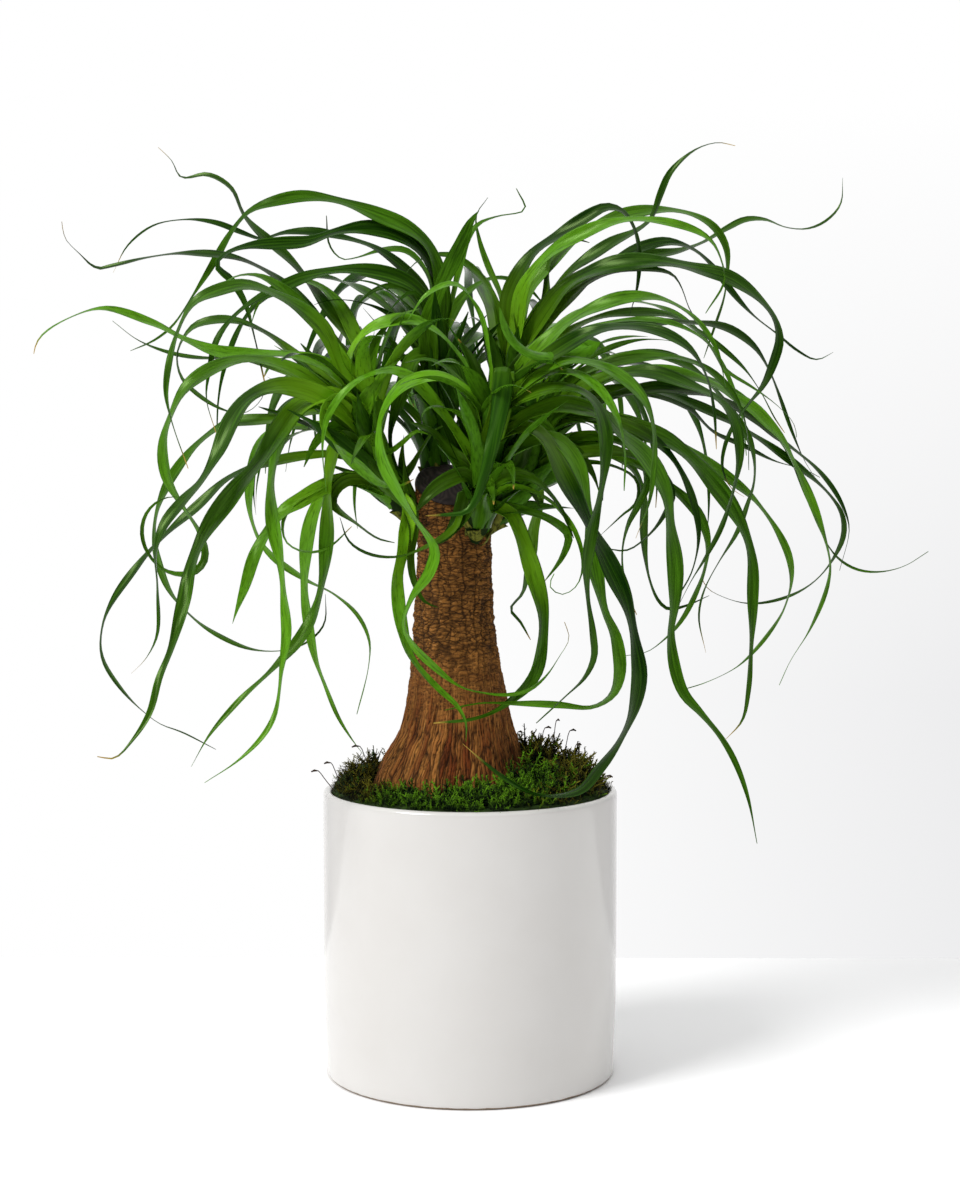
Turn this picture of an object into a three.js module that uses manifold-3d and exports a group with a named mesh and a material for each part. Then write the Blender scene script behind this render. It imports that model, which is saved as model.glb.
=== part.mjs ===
// Potted ponytail palm: a stump-grown plant with five heads of long strap leaves in a white pot.
// Millimetres, +Z up. The origin is the middle of the pot's underside, and -Y is the front.
import * as THREE from "three";
import { mergeVertices } from "three/addons/utils/BufferGeometryUtils.js";
import Module from "manifold-3d";

const wasm = await Module();
wasm.setup();

// Driving dimensions of the pot and what fills it.
const POT_RADIUS = 100;
const POT_HEIGHT = 195.4;
const POT_WALL = 6;
const POT_FLOOR = 8;
const POT_SIDES = 48;
const SOIL_TOP = 186;
const MOSS_RIM_HEIGHT = 195;
const MOSS_FRONT_RISE = 3;
const MOSS_BACK_RISE = 16;
const SEAT_GAP = 0.3;

// The trunk's outline seen from the front: height, left edge, right edge.
const TRUNK_OUTLINE = [
  [172, -64, 38],
  [186, -69, 42],
  [198, -68, 40],
  [209, -64, 38],
  [220, -57.5, 34],
  [235, -49, 30],
  [252, -44.5, 26],
  [270, -42, 23],
  [293, -39.5, 19],
  [318, -38, 16],
  [340, -36, 14.5],
  [360, -36.5, 14.5],
  [378, -38, 12.5],
];
const TRUNK_SIDES = 24;
const CUT_HEIGHT = 401;
const CUT_SLOPE = 0.5;
const CUT_DOME = 5.5;

// A leaf blade: a shallow channel, thickest along its middle.
const BLADE_THICKNESS = 1.2;
const BLADE_CHANNEL = 0.16;
const TIP_WIDTH = 0.7;
const ROOT_SHARE = 0.62;
const LEAF_GAP = 0.5;
const SECTION_LENGTH = 120;
const SECTION_TURN = 49;
const MOST_SECTIONS = 13;
const JOIN_TOLERANCE = 0.35;

// The leaves in view are drawn as seen from this eye point, on the upright plane through the
// pot's axis, and each is then moved along the line of sight to its own depth.
const EYE = new THREE.Vector3(6.75, -1616, 457.5);

// Each head's short stem: x, y, z and radius from its seat on the trunk to its growing tip.
const STEMS = {
  front: [
    [3, -16, 364, 9],
    [6, -30, 384, 10.5],
    [9, -36, 408, 9],
    [14, -38, 434, 6],
  ],
  left: [
    [-30, -2, 374, 9],
    [-46, -5, 392, 11],
    [-60, -7, 412, 10],
    [-68, -8, 438, 6],
  ],
  right: [
    [6, 6, 372, 9],
    [24, 10, 388, 10.5],
    [38, 12, 408, 9.5],
    [47, 12, 436, 6],
  ],
  centre: [
    [-22, 20, 392, 9],
    [-24, 28, 412, 10.5],
    [-24, 32, 440, 9.5],
    [-22, 33, 470, 6],
  ],
  back: [
    [2, 18, 388, 9],
    [12, 30, 410, 10.5],
    [20, 36, 440, 9.5],
    [28, 38, 472, 6],
  ],
};

// Leaves in view. wide: full width. seen: share of it that faces the viewer, from root to tip
// (below zero shows the underside). depth: y at root, middle and tip. route: x, z pairs.
// across keeps the blade's width level, on a leaf that folds over towards the viewer.
const ROUTES = {
  front: [
    { wide: 15, seen: [0.5, 0.85], depth: [-38, -98, -66], route: [20, 432, 31, 438, 41, 438, 50, 431,
      62, 408, 80, 372, 92, 350, 104, 323, 111, 292, 114, 272, 110, 249, 100, 227, 87, 208, 76, 195,
      62, 191, 44, 192, 24, 202, 10, 213, -5, 226] },
    { wide: 12, seen: [0.4, 0.8], depth: [-38, -112, -88], route: [25, 452, 43, 463, 60, 466, 75, 463,
      84, 455, 90, 438, 88, 405, 81, 367, 78, 345, 79, 324, 83, 300, 84, 286, 78, 272, 64, 258,
      45, 240] },
    { wide: 13, seen: [0.5, 0.85], depth: [-30, -74, -62], route: [40, 428, 56, 432, 70, 418, 78, 385,
      83, 350, 90, 316, 98, 298, 101, 275, 96, 260, 83, 252, 62, 253, 27, 254, 7, 254, -17, 249] },
    { wide: 14, seen: [0.5, 0.9], depth: [-38, -120, -150], route: [30, 441, 46, 451, 62, 455, 78, 452,
      89, 447, 100, 436, 118, 420, 130, 398, 134, 373, 138, 345, 137, 320, 135, 302, 138, 280, 145, 260,
      156, 247, 171, 229, 181, 212, 189, 190, 196, 157] },
    { wide: 12, seen: [0.7, 0.9], depth: [-36, -64, -58], route: [10, 386, 24, 382, 32, 369, 42, 343,
      48, 317, 48, 295, 45, 276, 38, 265, 30, 258, 17, 249, 1, 243, -25, 240] },
    { wide: 9, seen: [0.6, 0.8], depth: [-30, -46, -54], route: [17, 384, 36, 383, 57, 376, 66, 368,
      63, 355, 49, 335] },
    { wide: 14, across: 1, depth: [-37, -72, -80], route: [12, 425, 20, 455, 24, 484, 22, 466, 17, 440,
      11, 412, 4, 392, -3, 384, -15, 382, -30, 381] },
    { wide: 11, seen: [0.5, 0.6], depth: [-38, -82, -62], route: [8, 440, 4, 455, -8, 468, -24, 474,
      -44, 468, -57, 451, -60, 433, -57, 416, -50, 402, -36, 380, -23, 359, -27, 342, -38, 326, -44, 308,
      -39, 295, -25, 280, -5, 265, 11, 261, 27, 260, 40, 263, 51, 272, 60, 285, 67, 298, 64, 309] },
    { wide: 10, seen: [0.6, 0.7], depth: [-36, -56, -50], route: [-1, 420, -12, 439, -20, 451, -36, 470,
      -52, 478, -72, 473, -87, 461, -96, 446, -99, 428, -97, 398] },
    { wide: 4, seen: [0.6, 0.6], depth: [-36, -78, -66], route: [-3, 385, -10, 373, -29, 360, -49, 353,
      -68, 355, -82, 364, -88, 380] },
    { wide: 10, seen: [0.8, 0.8], depth: [-34, -52, -60], route: [-3, 407, -14, 405, -25, 398, -36, 384],
      blunt: 1 },
    { wide: 10, seen: [0.7, 0.8], depth: [-34, -44, -48], route: [-3, 414, -12, 421, -25, 436, -40, 444],
      blunt: 1 },
    { wide: 13, seen: [0.7, 0.6], depth: [-36, -60, -70], route: [22, 452, 30, 470, 45, 490, 64, 508,
      84, 520, 104, 527, 128, 526, 150, 514, 165, 494, 172, 468] },
    { wide: 12, seen: [0.7, 0.6], depth: [-37, -92, -130], route: [24, 455, 36, 474, 56, 490, 80, 503,
      102, 507, 126, 505, 146, 494, 158, 476, 164, 452, 166, 426] },
    { wide: 11, seen: [0.5, 0.7], depth: [-38, -100, -150], route: [26, 458, 45, 477, 66, 484, 85, 482,
      102, 474, 115, 461, 122, 444, 124, 420, 121, 392, 112, 366] },
    { wide: 9, seen: [0.6, 0.7], depth: [-37, -86, -130], route: [22, 455, 46, 474, 68, 477, 86, 467,
      98, 449, 104, 424, 104, 398] },
    { wide: 10, seen: [-0.8, -0.9], depth: [-36, -62, -96], route: [20, 446, 40, 470, 64, 488, 84, 497,
      74, 491, 57, 488, 43, 490, 31, 497, 23, 509, 20, 521], blunt: 1 },
    { wide: 4, seen: [0.7, 0.7], depth: [-34, -60, -58], route: [26, 400, 52, 392, 70, 372, 76, 350,
      72, 334, 62, 328, 54, 334, 57, 342] },
    { wide: 13, seen: [-0.8, 0.7], depth: [-38, -60, -70], route: [14, 460, 12, 490, 4, 520, -10, 536,
      -28, 530, -42, 512] },
    { wide: 13, seen: [0.7, 0.8], depth: [-34, -46, -56], route: [2, 396, -4, 380, -13, 368, -24, 361],
      blunt: 1 },
    { wide: 11, seen: [0.6, 0.7], depth: [-34, -58, -60], route: [16, 402, 28, 408, 40, 406, 52, 397,
      62, 384, 70, 366] },
    { wide: 13, seen: [0.8, 0.7], depth: [-36, -44, -34], route: [18, 440, 32, 448, 46, 444, 58, 430,
      66, 412] },
    { wide: 12, seen: [0.8, 0.6], depth: [-34, -30, -22], route: [2, 440, -4, 462, -14, 478, -28, 486,
      -44, 484] },
    { wide: 13, seen: [0.85, 0.8], depth: [-37, -42, -50], route: [8, 450, 6, 470, 0, 488, -8, 500] },
    { wide: 13, seen: [0.85, 0.8], depth: [-37, -46, -44], route: [20, 452, 28, 474, 38, 492, 50, 504] },
  ],
  left: [
    { wide: 10, seen: [0.6, 0.6], depth: [-6, 34, 74], route: [-72, 462, -78, 494, -98, 523, -122, 553,
      -151, 581, -160, 600, -175, 609, -193, 607, -199, 618, -208, 627] },
    { wide: 9, seen: [0.5, 0.5], depth: [-6, 20, 46], route: [-74, 460, -84, 487, -98, 508, -130, 540,
      -160, 554, -200, 556, -238, 549, -250, 547, -262, 557, -271, 567, -273, 578] },
    { wide: 11, seen: [0.6, 0.6], depth: [-8, -22, -34], route: [-76, 458, -94, 480, -120, 488, -147, 489,
      -170, 491, -192, 499, -213, 510, -246, 520, -278, 509, -290, 499, -293, 490] },
    { wide: 12, seen: [0.6, 0.65], depth: [-8, -50, -76], route: [-76, 460, -88, 478, -98, 504, -112, 518,
      -132, 529, -150, 535, -168, 532, -184, 524, -196, 503, -204, 468, -201, 447, -190, 413] },
    { wide: 9, seen: [0.5, 0.5], depth: [-6, 2, 12], route: [-80, 455, -98, 473, -116, 487, -137, 503,
      -156, 511, -172, 512, -186, 507, -196, 491, -194, 476, -185, 465, -166, 453, -151, 451, -141, 459,
      -137, 469] },
    { wide: 11, seen: [0.6, 0.65], depth: [-8, -62, -100], route: [-80, 450, -98, 464, -116, 477,
      -137, 484, -154, 485, -174, 479, -190, 467, -200, 449, -206, 429, -204, 408, -193, 388, -181, 368,
      -179, 352, -186, 343, -197, 341, -209, 345, -219, 357, -222, 371, -218, 384, -207, 393,
      -190, 394] },
    { wide: 6, seen: [0.6, 0.6], depth: [-6, 14, 32], route: [-84, 455, -105, 468, -127, 479, -151, 486,
      -182, 487, -203, 491, -223, 499, -240, 512] },
    { wide: 13, seen: [0.95, 0.4], depth: [-8, -84, -124], route: [-82, 448, -100, 461, -119, 467,
      -135, 466, -150, 458, -161, 443, -170, 421, -181, 403, -194, 390, -206, 375, -212, 355, -211, 330,
      -212, 300, -220, 284, -230, 274] },
    { wide: 9, seen: [0.6, 0.6], depth: [-6, 34, 62], route: [-80, 446, -100, 451, -128, 446, -162, 443,
      -177, 434, -191, 420, -204, 401, -212, 377, -211, 354, -203, 331, -188, 313, -168, 299, -148, 291,
      -127, 290, -110, 296, -99, 308, -98, 328] },
    { wide: 14, seen: [0.7, 0.9], depth: [-8, -88, -142], route: [-78, 448, -88, 459, -102, 460, -117, 452,
      -128, 438, -140, 418, -157, 399, -173, 378, -186, 352, -194, 322, -202, 291, -211, 270, -218, 247,
      -229, 229, -242, 216, -254, 217] },
    { wide: 12, seen: [0.6, 0.7], depth: [-8, -70, -112], route: [-78, 440, -92, 452, -108, 455, -122, 443,
      -129, 425, -133, 400, -132, 375, -127, 350, -125, 325, -124, 300, -127, 278, -132, 247, -141, 231,
      -158, 214, -181, 199] },
    { wide: 12, seen: [0.6, 0.7], depth: [-8, -40, -62], route: [-76, 432, -87, 430, -93, 412, -95, 386,
      -96, 364, -98, 340, -104, 317, -114, 299, -134, 276, -158, 254, -177, 232, -190, 210] },
    { wide: 10, seen: [0.8, 0.8], depth: [-8, -26, -42], route: [-85, 404, -101, 399, -114, 391, -125, 384,
      -136, 370, -146, 352, -153, 330, -161, 308], blunt: 1 },
    { wide: 8, seen: [0.6, 0.6], depth: [-4, 50, 82], route: [-84, 436, -105, 441, -128, 440, -141, 431,
      -147, 411, -148, 386, -142, 366, -132, 353, -112, 339, -91, 328, -76, 314, -68, 296, -69, 277,
      -77, 246] },
    { wide: 8, seen: [0.6, 0.6], depth: [-6, -18, -34], route: [-86, 420, -110, 421, -140, 415, -162, 406,
      -183, 388, -204, 369, -221, 351, -240, 326, -249, 305, -249, 285, -237, 264, -213, 241, -196, 234,
      -173, 222] },
    { wide: 10, seen: [0.8, 0.8], depth: [-4, 40, 78], route: [-84, 405, -98, 395, -108, 373, -111, 345,
      -110, 314, -105, 286, -98, 266, -90, 245, -81, 230, -73, 219] },
    { wide: 5, seen: [0.7, 0.7], depth: [-8, -24, -36], route: [-88, 404, -106, 398, -120, 389, -126, 376,
      -124, 364, -115, 358, -104, 357, -94, 361, -80, 374] },
    { wide: 9, seen: [0.7, 0.7], depth: [-8, -24, -34], route: [-78, 405, -89, 400, -92, 390, -77, 377,
      -62, 366, -51, 363] },
    { wide: 12, seen: [0.5, 0.7], depth: [-9, -24, -30], route: [-74, 458, -81, 476, -78, 492, -69, 504,
      -55, 511, -38, 512, -22, 504, -10, 492, 2, 476, 10, 455] },
    { wide: 12, seen: [-0.5, 0.8], depth: [-9, -56, -62], route: [-74, 452, -84, 462, -95, 457, -97, 441,
      -86, 426, -74, 415, -60, 404, -48, 402, -38, 406], blunt: 1 },
    { wide: 10, seen: [0.7, 0.8], depth: [-9, -62, -62], route: [-50, 396, -43, 386, -45, 366, -50, 340,
      -49, 322, -46, 303, -42, 288, -33, 275, -20, 262, -9, 252, -3, 240, -3, 227] },
    { wide: 11, seen: [0.8, 0.8], depth: [-8, -14, -20], route: [-70, 462, -67, 484, -60, 502, -48, 515,
      -34, 520] },
    { wide: 12, seen: [0.7, 0.7], depth: [-8, -20, -20], route: [-76, 462, -90, 490, -106, 514, -124, 532,
      -143, 542, -160, 540, -172, 528] },
    { wide: 11, seen: [0.8, 0.7], depth: [-7, 20, 40], route: [-72, 462, -76, 496, -88, 522, -104, 536,
      -124, 538, -140, 526, -148, 506] },
    { wide: 9, seen: [0.7, 0.7], depth: [-9, -44, -52], route: [-44, 392, -40, 372, -41, 352, -38, 336,
      -31, 323, -22, 319] },
    { wide: 8, seen: [0.7, 0.8], depth: [-6, 2, 6], route: [-58, 410, -48, 405, -40, 412, -32, 426,
      -24, 438, -14, 444] },
    { wide: 8, seen: [0.7, 0.8], depth: [-8, -18, -20], route: [-64, 424, -54, 423, -45, 430, -36, 438,
      -28, 436] },
    { wide: 13, seen: [0.8, 0.8], depth: [-9, -20, -24], route: [-72, 448, -64, 466, -54, 480, -42, 490] },
    { wide: 12, seen: [0.8, 0.8], depth: [-9, -22, -30], route: [-78, 438, -92, 440, -104, 430, -112, 414] },
  ],
  right: [
    { wide: 14, seen: [0.7, 0.85], depth: [10, -34, -44], route: [60, 448, 85, 446, 103, 441, 118, 437,
      134, 430, 147, 420, 161, 406, 173, 391, 184, 371, 190, 350, 191, 320, 190, 290, 189, 262, 185, 242,
      174, 229] },
    { wide: 9, seen: [0.6, 0.6], depth: [12, 38, 64], route: [66, 442, 100, 446, 130, 434, 154, 421,
      172, 408, 190, 393, 206, 372, 215, 354, 217, 338, 213, 320, 206, 307, 194, 291, 180, 278, 160, 268,
      141, 262] },
    { wide: 10, seen: [0.6, 0.6], depth: [12, -6, -24], route: [66, 450, 92, 459, 113, 465, 130, 467,
      147, 464, 163, 461, 180, 453, 195, 444, 206, 434, 221, 423, 234, 412, 245, 399, 253, 384, 256, 371,
      250, 344] },
    { wide: 8, seen: [0.6, 0.6], depth: [14, 50, 78], route: [70, 458, 110, 466, 155, 454, 198, 430,
      226, 410, 243, 394, 251, 381, 252, 368, 245, 352, 234, 338, 216, 327, 194, 322, 178, 324, 160, 333,
      157, 341] },
    { wide: 11, seen: [0.6, 0.6], depth: [12, -22, -56], route: [64, 456, 98, 474, 132, 477, 160, 470,
      176, 461, 190, 453, 201, 442, 211, 430, 217, 418, 227, 398, 236, 375, 243, 350, 242, 336, 238, 322,
      229, 302, 217, 282, 210, 266] },
    { wide: 6, seen: [0.6, 0.6], depth: [14, 44, 72], route: [68, 462, 124, 478, 172, 468, 208, 432,
      227, 395, 236, 372, 247, 354, 261, 345, 277, 343, 294, 347, 310, 357] },
    { wide: 11, seen: [0.6, 0.7], depth: [12, -50, -84], route: [62, 456, 92, 474, 122, 477, 150, 467,
      170, 456, 179, 440, 181, 421, 178, 403, 174, 387, 168, 370, 159, 353, 150, 338, 141, 320] },
    { wide: 8, seen: [0.6, 0.6], depth: [14, 26, 34], route: [64, 460, 96, 486, 132, 488, 158, 472,
      176, 450, 187, 434, 191, 418, 191, 404, 187, 390, 181, 372, 168, 350, 158, 330, 155, 312,
      160, 288] },
    { wide: 9, seen: [0.7, 0.7], depth: [10, -28, -58], route: [64, 426, 96, 424, 120, 411, 135, 400,
      146, 391, 155, 380, 160, 363, 158, 345, 153, 330, 146, 315, 139, 305, 131, 297, 120, 289,
      104, 286] },
    { wide: 8, seen: [0.7, 0.7], depth: [12, 36, 56], route: [58, 424, 86, 426, 108, 414, 116, 396,
      117, 371, 118, 354, 121, 338, 127, 324, 134, 318, 146, 320, 162, 327] },
    { wide: 7, seen: [0.7, 0.7], depth: [10, -12, -22], route: [60, 430, 90, 434, 112, 422, 119, 404,
      113, 388, 107, 377, 103, 362, 103, 345, 108, 325, 113, 314] },
    { wide: 8, seen: [0.8, 0.8], depth: [10, -30, -48], route: [60, 420, 96, 424, 124, 414, 136, 396,
      129, 379, 118, 366, 106, 358, 92, 359] },
    { wide: 4, seen: [0.7, 0.7], depth: [10, -4, -10], route: [58, 414, 90, 416, 112, 405, 112, 390,
      103, 382, 87, 367] },
    { wide: 8, seen: [0.6, 0.6], depth: [14, 46, 66], route: [66, 452, 96, 462, 128, 462, 147, 453,
      164, 437, 185, 428, 205, 418, 226, 412, 236, 407] },
    { wide: 9, seen: [0.8, 0.7], depth: [4, 14, 24], route: [42, 405, 45, 390, 42, 371, 41, 355, 38, 341,
      35, 329, 27, 318, 34, 309, 41, 297] },
    { wide: 10, seen: [0.7, 0.6], depth: [12, -16, -30], route: [56, 452, 72, 474, 98, 485, 122, 488,
      142, 486, 160, 479, 176, 464, 186, 440, 188, 412] },
    { wide: 9, seen: [0.7, 0.7], depth: [10, -30, -66], route: [60, 440, 84, 447, 110, 440, 132, 424,
      147, 400, 154, 372, 150, 344, 138, 322] },
    { wide: 13, seen: [0.8, 0.8], depth: [8, -6, -8], route: [40, 430, 34, 416, 22, 408, 10, 412] },
    { wide: 12, seen: [0.8, 0.7], depth: [10, -12, -18], route: [54, 428, 70, 424, 82, 410, 88, 394] },
    { wide: 13, seen: [0.8, 0.8], depth: [10, 2, 0], route: [52, 452, 58, 470, 68, 484, 82, 490] },
    { wide: 13, seen: [0.8, 0.7], depth: [10, -8, -12], route: [56, 444, 68, 452, 82, 452, 94, 442] },
  ],
  back: [
    { wide: 9, seen: [0.6, 0.6], depth: [38, 24, 6], route: [48, 490, 84, 506, 120, 510, 149, 510,
      172, 507, 189, 496, 200, 480, 208, 461, 217, 437, 225, 419, 236, 402] },
    { wide: 10, seen: [0.6, 0.6], depth: [38, 64, 88], route: [44, 500, 75, 535, 99, 552, 114, 560,
      132, 564, 149, 559, 161, 549, 173, 534, 188, 517, 206, 503, 220, 492, 233, 486, 244, 491] },
    { wide: 13, seen: [0.7, 0.7], depth: [37, 2, -30], route: [40, 500, 62, 532, 80, 543, 102, 550,
      128, 550, 151, 546, 174, 540, 191, 528, 203, 514, 207, 500, 204, 486, 197, 470, 187, 457, 179, 446,
      172, 430, 170, 414, 176, 400, 185, 394] },
    { wide: 8, seen: [0.6, 0.6], depth: [38, 58, 82], route: [48, 492, 88, 514, 130, 516, 156, 503,
      171, 492, 184, 480, 195, 465, 205, 447, 212, 437] },
    { wide: 5, seen: [0.6, 0.6], depth: [37, -8, -56], route: [46, 488, 84, 508, 128, 512, 157, 499,
      172, 479, 189, 468, 207, 455, 218, 443, 220, 434] },
    { wide: 11, seen: [0.5, 0.7], depth: [38, 44, 36], route: [40, 496, 52, 520, 64, 540, 78, 552,
      94, 563, 113, 572, 122, 580, 128, 597, 133, 609, 142, 619, 154, 627, 166, 630, 177, 628] },
    { wide: 12, seen: [0.7, 0.7], depth: [36, 24, 12], route: [30, 500, 26, 524, 41, 554, 61, 569,
      80, 582, 92, 587, 102, 584, 109, 574, 113, 558, 112, 535, 107, 516] },
    { wide: 12, seen: [0.6, 0.7], depth: [38, 66, 84], route: [34, 502, 42, 534, 64, 560, 100, 581,
      127, 585, 148, 582, 163, 574, 171, 561, 172, 545, 170, 528, 165, 511, 157, 487] },
    { wide: 11, seen: [0.7, 0.7], depth: [36, 4, -24], route: [32, 500, 36, 532, 54, 556, 78, 571,
      102, 578, 127, 578, 148, 573, 161, 565, 168, 552, 170, 538, 158, 517] },
    { wide: 9, seen: [0.6, 0.5], depth: [39, 80, 112], route: [44, 496, 62, 530, 84, 547, 113, 555,
      140, 558, 157, 564, 172, 573, 184, 579, 197, 579, 211, 574, 226, 573, 239, 579, 248, 590,
      249, 607] },
    { wide: 8, seen: [0.7, 0.6], depth: [37, 14, -4], route: [44, 500, 70, 530, 98, 545, 124, 546,
      136, 542, 142, 533, 147, 520, 157, 505] },
    { wide: 10, seen: [0.8, 0.7], depth: [38, 48, 56], route: [40, 496, 51, 520, 53, 548, 58, 560,
      70, 566, 80, 564] },
    { wide: 8, seen: [0.8, 0.7], depth: [37, 42, 46], route: [22, 500, 14, 530, 0, 548, -16, 556,
      -34, 552, -46, 540] },
    { wide: 7, seen: [0.7, 0.7], depth: [38, 56, 66], route: [24, 502, 20, 528, 12, 548, 6, 566, 4, 582,
      12, 594] },
  ],
  centre: [
    { wide: 13, seen: [0.7, 0.7], depth: [31, 14, -8], route: [-22, 500, -20, 530, -34, 558, -49, 569,
      -69, 573, -89, 570, -108, 564, -126, 563, -148, 561, -163, 556, -169, 549, -160, 540, -150, 523,
      -144, 500, -137, 466] },
    { wide: 12, seen: [0.7, 0.7], depth: [32, 50, 72], route: [-21, 505, -20, 535, -28, 560, -42, 573,
      -65, 583, -90, 591, -112, 594, -130, 591, -147, 584, -158, 572, -176, 543, -187, 526, -199, 509,
      -212, 499, -228, 492] },
    { wide: 8, seen: [0.6, 0.6], depth: [33, 70, 104], route: [-24, 500, -30, 530, -44, 546, -64, 560,
      -86, 567, -105, 571, -124, 570, -140, 566, -152, 570, -170, 577, -191, 579, -212, 575, -229, 562,
      -239, 544] },
    { wide: 12, seen: [0.7, 0.7], depth: [30, 2, -22], route: [-22, 490, -26, 518, -38, 534, -55, 542,
      -81, 545, -108, 541, -130, 532, -150, 521, -163, 509, -171, 496, -175, 478, -177, 460, -171, 437] },
    { wide: 7, seen: [0.7, 0.7], depth: [32, 58, 70], route: [-28, 495, -34, 520, -46, 534, -60, 534,
      -73, 525, -84, 508] },
    { wide: 6, seen: [0.7, 0.7], depth: [29, 14, 2], route: [-26, 495, -30, 520, -38, 531, -48, 525,
      -58, 513] },
    { wide: 7, seen: [0.6, 0.6], depth: [34, 80, 98], route: [-24, 505, -28, 540, -42, 558, -58, 559,
      -75, 554, -86, 553, -94, 562, -96, 582] },
    { wide: 8, seen: [0.7, 0.6], depth: [33, 42, 46], route: [-18, 500, -10, 530, -6, 549, -2, 565, 6, 576,
      18, 581, 37, 586, 31, 600] },
    { wide: 12, seen: [0.8, 0.9], depth: [30, 4, -10], route: [-26, 490, -27, 510, -20, 530, -13, 547,
      -6, 562, 1, 578, 6, 585], blunt: 1 },
    { wide: 9, seen: [0.7, 0.7], depth: [34, 70, 96], route: [-18, 500, -4, 528, 16, 540, 36, 536,
      52, 520] },
    { wide: 10, seen: [0.7, 0.7], depth: [30, 14, 4], route: [-32, 470, -46, 486, -62, 492, -78, 486,
      -88, 470, -92, 450] },
    { wide: 13, seen: [0.8, 0.7], depth: [30, 10, -4], route: [-28, 486, -36, 486, -43, 470, -49, 452,
      -53, 434, -50, 416, -44, 405] },
    { wide: 14, seen: [0.8, 0.8], depth: [30, 8, 0], route: [-20, 484, -12, 482, -6, 466, -2, 448,
      -1, 430] },
    { wide: 12, seen: [0.8, 0.8], depth: [31, 16, 8], route: [-24, 484, -22, 474, -16, 458, -14, 440,
      -18, 424] },
  ],
};

// Leaves that follow a rule fill each head where the view can't part them and round the back:
// the lowest root, how many, the first bearing and the sweep round the stem in degrees, lengths
// in mm, the slope at the root and the whole bend in degrees.
const FILLS = [
  { head: "front", root: 420, count: 5, from: 200, sweep: 160, short: 90, long: 130, rise: 78, droop: 90 },
  { head: "left", root: 420, count: 6, from: 120, sweep: 200, short: 100, long: 150, rise: 76, droop: 90 },
  { head: "right", root: 420, count: 5, from: -60, sweep: 180, short: 100, long: 150, rise: 76, droop: 95 },
  { head: "centre", root: 420, count: 6, from: 40, sweep: 220, short: 90, long: 150, rise: 80, droop: 90 },
  { head: "back", root: 420, count: 6, from: -50, sweep: 230, short: 90, long: 150, rise: 80, droop: 90 },
  { head: "left", root: 420, count: 7, from: 80, sweep: 62, short: 190, long: 300, rise: 60, droop: 140 },
  { head: "right", root: 420, count: 7, from: 40, sweep: 62, short: 190, long: 300, rise: 60, droop: 140 },
  { head: "centre", root: 420, count: 8, from: 60, sweep: 90, short: 220, long: 360, rise: 62, droop: 145 },
  { head: "back", root: 420, count: 8, from: 35, sweep: 85, short: 220, long: 360, rise: 62, droop: 145 },
  { head: "front", root: 376, count: 3, from: 190, sweep: 160, short: 55, long: 90, rise: 54, droop: 90 },
  { head: "left", root: 376, count: 3, from: 90, sweep: 220, short: 55, long: 100, rise: 52, droop: 95 },
  { head: "right", root: 376, count: 4, from: -110, sweep: 200, short: 55, long: 100, rise: 52, droop: 95 },
  { head: "centre", root: 396, count: 2, from: 70, sweep: 200, short: 60, long: 110, rise: 56, droop: 95 },
  { head: "back", root: 396, count: 2, from: -40, sweep: 200, short: 60, long: 110, rise: 56, droop: 95 },
];
const FILL_SEED = 57;
const FILL_TRIES = 14;
const FILL_STEPS = 14;
const FILL_WIDTHS = [8, 13];

// How far up the stem their roots spread, in mm, and how far they sway and roll, in degrees.
const FILL_ROOTS = 60;
const FILL_SWAY = 80;
const FILL_ROLL = 60;

// A leaf that would touch a leaf of another head is swung this far in depth instead.
const SWINGS = [0, -10, 10, -20, 20, -30, 30, -42, 42, -55, 55];

const rad = THREE.MathUtils.degToRad;
const smooth = THREE.MathUtils.smoothstep;

// The same random numbers each time: a small 32-bit mixer.
function randomFrom(seed) {
  let state = seed;
  return () => {
    state = (state + 0x6d2b79f5) >>> 0;
    let mixed = Math.imul(state ^ (state >>> 15), state | 1);
    mixed ^= mixed + Math.imul(mixed ^ (mixed >>> 7), mixed | 61);
    return ((mixed ^ (mixed >>> 14)) >>> 0) / 4294967296;
  };
}

// Closed bodies and booleans.
function geometryOf(points, faces) {
  const geometry = new THREE.BufferGeometry();
  geometry.setAttribute("position", new THREE.Float32BufferAttribute(points.flat(), 3));
  geometry.setIndex(faces.flat());
  return geometry;
}

function solidOf(geometry) {
  const bare = geometry.clone();
  bare.deleteAttribute("normal");
  bare.deleteAttribute("uv");
  const merged = mergeVertices(bare, 1e-4);
  return new wasm.Manifold(
    new wasm.Mesh({
      numProp: 3,
      vertProperties: merged.attributes.position.array,
      triVerts: new Uint32Array(merged.index.array),
    }),
  );
}

function geometryFrom(solid) {
  const mesh = solid.getMesh();
  const geometry = new THREE.BufferGeometry();
  geometry.setAttribute("position", new THREE.Float32BufferAttribute(mesh.vertProperties, 3));
  geometry.setIndex(Array.from(mesh.triVerts));
  return geometry;
}

// The largest body of a solid, which leaves out loose scraps and fills sealed hollows.
function largestBody(solid) {
  const bodies = solid.decompose();
  return bodies.reduce((largest, body) => (body.volume() > largest.volume() ? body : largest));
}

// Joins rings of points, listed from the bottom up and anticlockwise from above, with flat ends.
function loft(rings) {
  const sides = rings[0].length;
  const faces = [];
  for (let ring = 0; ring + 1 < rings.length; ring++) {
    for (let side = 0; side < sides; side++) {
      const next = (side + 1) % sides;
      const a = ring * sides + side;
      const b = ring * sides + next;
      faces.push([a, b, b + sides], [a, b + sides, a + sides]);
    }
  }
  const top = (rings.length - 1) * sides;
  for (let side = 1; side + 1 < sides; side++) {
    faces.push([0, side + 1, side], [top, top + side, top + side + 1]);
  }
  return geometryOf(rings.flat(), faces);
}

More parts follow.
